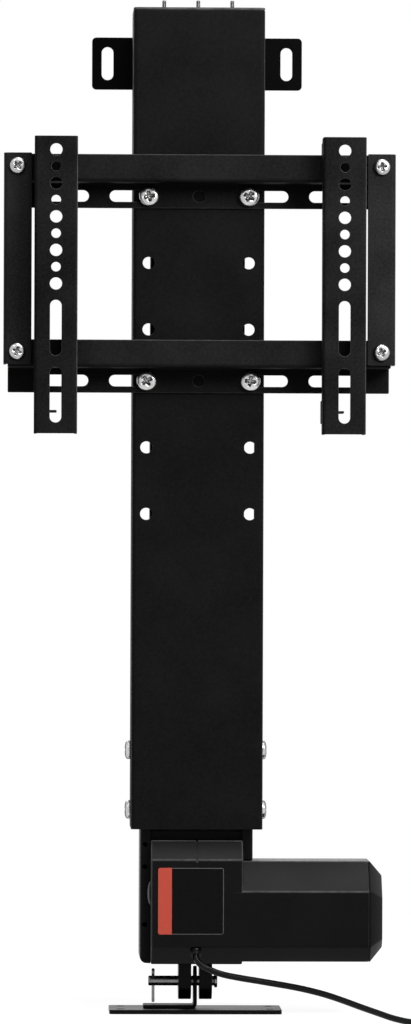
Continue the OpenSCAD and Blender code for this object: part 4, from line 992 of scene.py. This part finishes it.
def makeHousing():
    g, m = gearbox, motorArm
    half, seam, rim, lap = g["groove"] / 2, g["seam"], g["rim"], g["grooveLap"]
    turns = [math.radians(10 * k) for k in range(10)]
    dome = [(g["bossRadius"] * math.cos(turn), g["bossHeight"] * math.sin(turn)) for turn in turns]
    boss = lathePart([(0, -g["bossRoot"]), (g["bossRadius"], -g["bossRoot"])] + dome, 48)
    front = gathered([
        prism(gearboxFront(0, 0), -g["side"], -half, (seam, rim)),
        prism(gearboxFront(seam, g["grooveDepth"]), -half - lap, half + lap, (seam, seam)),
        prism(gearboxFront(0, 0), half, g["side"], (rim, seam)),
        prism(motorFront(-seam, g["parting"]), m["start"], m["end"], (m["rim"], seam)),
        placed(boss, aim(g["bossPlace"], -axisX)),
    ])
    makePiece("housingFrontShell", front, housingPlastic, "housing_front")
    back = outline([(g["parting"], g["low"], g["partingEdge"]), (g["parting"], g["high"], g["partingEdge"]),
                    (g["back"], g["high"]), (g["back"], g["low"])], g["edge"])
    motorBack = box(g["parting"], m["back"], m["low"], m["high"], g["edge"], m["arcSteps"])
    rear = gathered([prism(back, -g["side"], g["side"], rim),
                     prism(motorBack, m["rearStart"], m["end"], m["rim"])])
    makePiece("housingRearShell", rear, housingPlastic, "housing_rear")

    cap = newPart()
    rows = [[addPoint(cap, (m["end"] + x, y, z)) for y, z in motorFront(inset, m["back"] - inset)]
            for x, inset in m["capRings"]]
    joinRows(cap, rows, capped=True)
    makePiece("motorEndCap", cap, housingPlastic, "motor_end_cap")

    heads = [(m["end"] - m["screwInset"], m["back"], z) for z in m["screwHeights"]]
    heads += [(s * g["screwX"], g["back"], z) for s in (-1, 1) for z in g["screwHeights"]]
    places = [aim((x, y + g["screwProud"], z), axisY) for x, y, z in heads]
    makeSet("housingScrewHeads", flatScrew(*g["screw"]), places, zincPlate, "housing_screws")


makeHousing()
print("housing made")


# Bare two-tone plate on the gearbox's face
plate = {"left": -27.2, "right": 18.6, "low": 57.5, "high": 103.9, "thickness": 0.3, "cornerRadius": 1.6,
         "band": 9.6, "border": 0.55, "borderTone": 0.13, "inkTones": (0.002, 0.0045),
         "bandTones": ((0.7, 0.1, 0.065, 1), (0.8, 0.13, 0.09, 1)), "grain": 1400.0, "smears": 300.0,
         "roughness": (0.38, 0.5), "specular": 0.06}


def plateFinish():
    finish, tree, shader = newMaterial("gearboxPlate")
    parts = addNode(tree, "SeparateXYZ", {"Vector": addNode(tree, "TexCoord").outputs["Object"]}).outputs
    inBand = calc(tree, "LESS_THAN", parts["X"], (plate["left"] + plate["band"]) * mm)
    gaps = []
    for axis, low, high in (("X", plate["left"], plate["right"]), ("Z", plate["low"], plate["high"])):
        away = calc(tree, "ABSOLUTE", calc(tree, "SUBTRACT", parts[axis], (low + high) / 2 * mm))
        gaps.append(calc(tree, "SUBTRACT", (high - low) / 2 * mm, away))
    line = calc(tree, "LESS_THAN", calc(tree, "MINIMUM", *gaps), plate["border"] * mm)
    grain = noiseAt(tree, plate["grain"], detail=2.0)
    ink = mixed(tree, ramped(tree, grain, firm, 0.0, 1.0), *(grey(tone) for tone in plate["inkTones"]))
    edged = mixed(tree, line, ink, grey(plate["borderTone"]))
    smears = noiseAt(tree, plate["smears"])
    feed(tree, shader, {"Base Color": mixed(tree, inBand, edged, mixed(tree, grain, *plate["bandTones"])),
                        "Roughness": ramped(tree, smears, broad, *plate["roughness"]),
                        "Specular IOR Level": plate["specular"]})
    return finish


def makePlate():
    form = flatForm((0, gearbox["front"] - plate["thickness"] / 2, 0), axisX, axisZ, -axisY)
    loop = box(plate["left"], plate["right"], plate["low"], plate["high"], plate["cornerRadius"])
    part = sheetPart(loop, [], plate["thickness"], form, edge=0.1)
    makePiece("gearboxPlate", part, plateFinish(), "housing_front", "black_plastic")


makePlate()
print("plate made")


# Fixed mast and the wall plate
mast = {"wall": 2, "cornerRadius": 3}
wall = {"slotX": 63.5, "slotWidth": 8.3, "slotHeight": 23.5, "cornerRadius": 3, "screwX": 12,
        "screw": (10, 2.5, 5, 12.8, 0.9), "screwRoom": 0.05}


def makeMast():
    (x0, x1), (y0, y1), _ = span("mast")
    t, r = mast["wall"], mast["cornerRadius"]
    hole = box(x0 + t, x1 - t, y0 + t, y1 - t, r - t)
    makePiece("mastTube", levelPlate("mast", r, [hole], edge=0.3), columnCoat, "mast")

    (x0, x1), (y0, y1), (z0, z1) = span("wall_plate")
    middle = (z0 + z1) / 2
    screwHole = wall["screw"][0] / 2 + wall["screwRoom"]
    holes = [slotAt(s * wall["slotX"], middle, wall["slotWidth"], wall["slotHeight"]) for s in (-1, 1)]
    holes += [circle(s * wall["screwX"], middle, screwHole, 40) for s in (-1, 1)]
    form = flatForm((0, (y0 + y1) / 2, 0), axisX, axisZ, axisY)
    part = sheetPart(box(x0, x1, z0, z1, wall["cornerRadius"]), holes, y1 - y0, form, edge=0.5)
    makePiece("wallPlateSheet", part, darkCoat, "wall_plate")
    places = [aim((s * wall["screwX"], y1, middle), axisY) for s in (-1, 1)]
    makeSet("wallPlateScrews", flatScrew(*wall["screw"]), places, zincPlate, "wall_screws")


makeMast()
print("mast and wall plate made")


# Moving column with its top plate, studs and side screws
column = {"sheet": 2, "cornerRadius": 3, "lip": 4.7, "holeRadius": 4.2, "rows": 3, "rowPitch": 46.5,
          "holePairs": ((35, 572.5), (36.25, 443.5)), "lidRims": (0.4, 1.1),
          "sideScrews": (142.5, 184.5), "screw": (13, 4, 5, 11, 1.0)}
stud = {"places": (-24, 0, 24), "radius": 1.5, "room": 0.2, "pitch": 0.7, "depth": 0.3, "sides": 16}


def makeColumn():
    (x0, x1), (y0, y1), (z0, z1) = span("sleeve")
    t, r = column["sheet"], column["cornerRadius"]
    front, side, lip = x1 - r, y1 - y0 - 2 * r, column["lip"] - r
    # one bend of the sleeve gets a painted highlight line
    form = bentForm((x0 + column["lip"], y1 - t / 2), 180, (lip, side, 2 * front, side, lip), r - t / 2,
                    (1, 1, 1, 1), xyzAxes, steps=8, highlitBends=(2,))
    holes = [circle(s * x, z - row * column["rowPitch"], column["holeRadius"], 28)
             for x, z in column["holePairs"] for row in range(column["rows"]) for s in (-1, 1)]
    part = sheetPart(box(-form["half"], form["half"], z0, z1), holes, t, form)
    makePiece("columnSleeve", part, columnCoat, "sleeve")

    holes = [circle(x, 0, stud["radius"] + stud["room"], 20) for x in stud["places"]]
    makePiece("columnTopPlate", levelPlate("top_plate", r, holes, column["lidRims"]), lidRimHighlightCoat, "top_plate")
    low, high = span("lid_studs")[2]
    part = threadPart(stud["radius"], low, high, stud["pitch"], stud["depth"], stud["sides"])
    places = [Matrix.Translation((x, 0, 0)) for x in stud["places"]]
    makeSet("lidStudThreads", part, places, dullSteel, "lid_studs")

    places = [aim((s * x1, 0, z), s * axisX) for s in (-1, 1) for z in column["sideScrews"]]
    makeSet("columnSideScrews", panScrew(*column["screw"]), places, chromePlate, "side_screws")


makeColumn()
print("column made")


# Z-section rails on the column and the bars over their ends
rail = {"sheet": 2, "bend": 2, "cornerRadius": 1, "flange": 8.5, "slotX": (45.5, 94),
        "slotLength": 34, "slotWidth": 8, "barHole": 2.55, "barHoleX": 126.55, "barHoleRise": 19.45,
        "screwX": {"upper_rail": 35, "lower_rail": 36.25}, "screw": (14, 5, 7.8, 11.7, 1.25),
        "screwTurns": (12, 57, 33, 80), "nut": 13, "nutBore": 3.95}  # each screw stops at its own angle
sideBar = {"sheet": 2, "bend": 2, "cornerRadius": 0.8, "hole": 2.55, "screw": (11.3, 3.6, 5, 9.2, 0.8),
           "screwTurns": (40, 8, 71, 25), "nut": 8, "nutBore": 2.55}
railHeights = {}


def makeRails():
    t, bend = rail["sheet"], rail["bend"]
    for node in ("upper_rail", "lower_rail"):
        (x0, x1), (y0, y1), (z0, z1) = span(node)
        middle = railHeights[node] = z0 + rail["flange"]
        flange = 2 * rail["flange"] - bend + t / 2
        web = y1 - y0 - t - 2 * bend
        lip = z1 - (middle + rail["flange"] + t / 2 + bend)
        start = z0 - middle
        form = bentForm((y1 - t / 2, z0), 90, (flange, web, lip), bend, (1, -1), (axisY, axisZ, axisX), start)
        end = start + 2 * form["half"]
        holes = [slotAt(0, s * x, rail["slotWidth"], rail["slotLength"])
                 for s in (-1, 1) for x in rail["slotX"]]
        holes.append(circle(0, 0, rail["slotWidth"] / 2))
        barHole = end - (z1 - middle - rail["barHoleRise"])
        holes += [circle(barHole, s * rail["barHoleX"], rail["barHole"], 24) for s in (-1, 1)]
        part = sheetPart(box(start, end, x0, x1, rail["cornerRadius"]), holes, t, form, edge=0.7, steps=3)
        makePiece(node.split("_")[0] + "RailSheet", part, railCoat, node)


def makeSideBars():
    t, bend = sideBar["sheet"], sideBar["bend"]
    inset = t / 2 + bend
    for node, side in (("side_bar_left", -1), ("side_bar_right", 1)):
        (x0, x1), (y0, y1), (z0, z1) = span(node)
        inner, outer = sorted((abs(x0), abs(x1)))
        # the bar's bend gets a painted highlight line
        form = bentForm((inner, y0 + t / 2), 0, (outer - inner - inset, y1 - y0 - inset), bend, (1,),
                        (side * axisX, axisY, axisZ), 0, highlitBends=(0,))
        holes = [circle(rail["barHoleX"] - inner, height + rail["barHoleRise"], sideBar["hole"], 24)
                 for height in railHeights.values()]
        part = sheetPart(box(0, 2 * form["half"], z0, z1, sideBar["cornerRadius"]), holes, t, form)
        makePiece("sideBar" + node.split("_")[-1].title(), part, barLitCoat, node)


def makeRailFasteners():
    railHeads = [(s * rail["screwX"][node], height) for node, height in railHeights.items() for s in (-1, 1)]
    barHeads = [(s * rail["barHoleX"], height + rail["barHoleRise"])
                for height in railHeights.values() for s in (-1, 1)]
    for kind, sizes, heads, front, finish in (
            ("rail", rail, railHeads, span("upper_rail")[1][1] - rail["sheet"], zincPlate),
            ("bar", sideBar, barHeads, span("side_bar_left")[1][0], agedZinc)):
        places = [aim((x, front, z), -axisY) @ Matrix.Rotation(math.radians(turn), 4, "Z")
                  for (x, z), turn in zip(heads, sizes["screwTurns"])]
        makeSet(kind + "PanScrews", panScrew(*sizes["screw"]), places, finish, kind + "_screws")
        low, high = span(kind + "_nuts")[1]
        nut = hexNut(sizes["nut"], high - low, sizes["nutBore"])
        makeSet(kind + "HexNuts", nut, [aim((x, low, z), axisY) for x, z in heads], zincPlate, kind + "_nuts")


makeRails()
makeSideBars()
makeRailFasteners()
print("rails and bars made")


# Screen arms: channels hooked over the upper rail's lip, with a tab for the lock screw
screenArm = {"middle": 100, "width": 30, "sheet": 2, "bend": 1.5, "face": -84, "rear": -64.3,
             "endRadius": 1.5, "hookRear": -52, "hookGap": -61.7, "hookLow": 600.6, "hookHigh": 609,
             "hookRadius": 2, "tongueLow": 586, "tongueRadius": 1,
             "topHole": 9.5, "pitch": 11.6, "holeRadii": (4.25, 3.3), "holes": 9,
             "slotWidth": 8, "slotLength": 38.5, "slotTops": (113.6, 160),
             "tabRear": -46, "tabLow": 413.5, "tabHigh": 429.5, "tabRadius": 2,
             "shelfFront": -62, "shelfHeight": 421.5, "shelfSheet": 1.6, "shelfEnd": 0.9, "shelfLap": 0.5,
             "shelfRadius": 1.5}
lockScrew = {"x": -8, "y": -54, "radius": 2.5, "room": 0.1, "head": 5, "headHeight": 4,
             "headRounds": (0.4, 0.8), "pitch": 0.8, "depth": 0.4, "sides": 18}


def armOutline(across, low, high):
    a = screenArm
    end, inner, outer, tabbed = (a[part + "Radius"] for part in ("end", "tongue", "hook", "tab"))
    rear, gap, hook, tab = (across(a[line]) for line in ("rear", "hookGap", "hookRear", "tabRear"))
    hooks = [(rear, a["hookLow"]), (gap, a["hookLow"]), (gap, a["tongueLow"], inner),
             (hook, a["tongueLow"], outer), (hook, a["hookHigh"], outer), (rear, a["hookHigh"]),
             (rear, high, end)]
    mirrored = [(-corner[0], *corner[1:]) for corner in reversed(hooks)]
    lock = [(-rear, a["tabHigh"]), (-tab, a["tabHigh"], tabbed), (-tab, a["tabLow"], tabbed),
            (-rear, a["tabLow"]), (-rear, low, end)]
    return outline([(rear, low, end)] + hooks + mirrored + lock)


def makeArm(side, middle):
    a, screw, node = screenArm, lockScrew, side + "_arm"
    z0, z1 = span(node)[2]
    t, bend, half = a["sheet"], a["bend"], a["width"] / 2
    inset = t / 2 + bend
    face, flangeFront = half - inset, a["face"] + inset
    flange = a["rear"] - flangeFront
    straights = (flange, 2 * face, flange)
    # one bend of the arm gets a painted highlight line
    form = bentForm((middle - half + t / 2, a["rear"]), -90, straights, bend, (1, 1), xyzAxes, highlitBends=(1,))
    loop = armOutline(lambda y: face + quarter(bend) + y - flangeFront, z0, z1)
    holes = [circle(0, z1 - a["topHole"] - i * a["pitch"], a["holeRadii"][i % 2]) for i in range(a["holes"])]
    slotWidth, slotLength = a["slotWidth"], a["slotLength"]
    holes += [slotAt(0, z1 - top - slotLength / 2, slotWidth, slotLength) for top in a["slotTops"]]
    channel = sheetPart(loop, holes, t, form)
    shelfLoop = box(-half + a["shelfLap"], a["shelfEnd"], a["shelfFront"], a["tabRear"], a["shelfRadius"])
    shelf = sheetPart(shelfLoop, [circle(screw["x"], screw["y"], screw["radius"] + screw["room"], 24)],
                      a["shelfSheet"], flatForm((middle, 0, a["shelfHeight"]), *xyzAxes))
    makePiece(side + "ArmChannel", gathered([channel, shelf]), armCoat, node)

    low, high = span(side + "_lock_screw")[2]
    head, height, (under, over) = screw["head"], screw["headHeight"], screw["headRounds"]
    knob = spunPart([(0, 0), (head, 0, under), (head, height, over), (0, height)], 36)
    shank = threadPart(screw["radius"], height - threadLap, high - low, screw["pitch"], screw["depth"],
                       screw["sides"])
    at = Matrix.Translation((middle + screw["x"], screw["y"], low))
    makePiece(side + "LockScrew", placed(gathered([knob, shank]), at), zincPlate, side + "_lock_screw")


makeArm("left", -screenArm["middle"])
makeArm("right", screenArm["middle"])
print("screen arms made")


# CAD nodes that show as they are
kept = {
    naturalNylon: ("mast_cap", "slide_block_left", "slide_block_right", "nut_carrier", "worm_wheel",
                   "screw_end_bush"),
    groundSteel: ("push_tube", "push_head", "lead_screw", "bearing_lower", "bearing_upper", "worm",
                  "motor_can"),
    machinedBronze: ("drive_nut", "worm_bush"),
    baseCoat: ("mast_base", "wall_spacer"),
}
for finish, nodes in kept.items():
    for node in nodes:
        shown = frame["nodes"][node]
        if not shown.material_slots:
            shown.data.materials.append(finish)
        for slot in shown.material_slots:
            slot.material = finish
print("kept nodes finished")


# Floor, world and lamps
studio = {
    "floorSize": 40, "floorTone": 0.2, "floorGlow": 0.89, "plainFloor": (0.5, 1.2), "worldFill": 0.12,
    "lamps": {
        "overhead": {"place": (0.25, -0.5, 2.6), "aim": (0, -0.05, 0.35), "size": 0.9, "power": 17},
        "topFront": {"place": (0.4, -2.1, 2.4), "aim": (0, -0.05, 0.4), "size": 0.7, "power": 20},
        "keyRight": {"place": (0.6, -0.85, 0.95), "aim": (0, -0.05, 0.45), "size": 0.45, "power": 9},
        "fillLeft": {"place": (-1.1, -2.0, 2.2), "aim": (0, 0, 0.3), "size": 0.3, "power": 5},
        "backFill": {"place": (-0.6, 2.2, 1.5), "aim": (0, 0, 0.35), "size": 0.9, "power": 26},
    },
}


def seenDirectly(tree):
    path = addNode(tree, "LightPath").outputs
    seen = calc(tree, "MAXIMUM", path["Is Camera Ray"], path["Is Glossy Ray"])
    return calc(tree, "MAXIMUM", seen, path["Is Transmission Ray"])


def makeWorld():
    world = bpy.data.worlds.new("studioWorld")
    world.use_nodes = True
    tree = world.node_tree
    strength = calc(tree, "MAXIMUM", seenDirectly(tree), studio["worldFill"])
    feed(tree, tree.nodes["Background"], {"Color": grey(1), "Strength": strength})
    scene.world = world


def makeFloor():
    half = studio["floorSize"] / 2
    mesh = bpy.data.meshes.new("studioFloor")
    corners = [(-half, -half, 0), (half, -half, 0), (half, half, 0), (-half, half, 0)]
    mesh.from_pydata(corners, [], [(0, 1, 2, 3)])
    finish, tree, shader = newMaterial("studioFloor")
    tree.nodes.remove(shader)
    soft = addNode(tree, "BsdfDiffuse", {"Color": grey(studio["floorTone"])})
    glow = addNode(tree, "Emission", {"Strength": times(tree, seenDirectly(tree), studio["floorGlow"])})
    near = addNode(tree, "AddShader", {0: soft.outputs[0], 1: glow.outputs[0]})
    # beyond the object's shadow the floor is as plain as the background
    place = addNode(tree, "TexCoord").outputs["Object"]
    away = addNode(tree, "VectorMath", {0: place}, operation="LENGTH").outputs["Value"]
    plain = addNode(tree, "Emission", {"Strength": seenDirectly(tree)})
    share = ramped(tree, away, studio["plainFloor"], 0.0, 1.0)
    whole = addNode(tree, "MixShader", {0: share, 1: near.outputs[0], 2: plain.outputs[0]})
    feed(tree, tree.nodes["Material Output"], {"Surface": whole.outputs[0]})
    mesh.materials.append(finish)
    addObject("studioFloor", mesh)


def makeLamps():
    for name, lamp in studio["lamps"].items():
        light = bpy.data.lights.new(name, "AREA")
        light.size = lamp["size"]
        light.energy = lamp["power"]
        holder = addObject(name, light)
        holder.location = lamp["place"]
        way = Vector(lamp["aim"]) - Vector(lamp["place"])
        holder.rotation_mode = "QUATERNION"
        holder.rotation_quaternion = way.to_track_quat("-Z", "Y")


makeWorld()
makeFloor()
makeLamps()
print("studio lit")
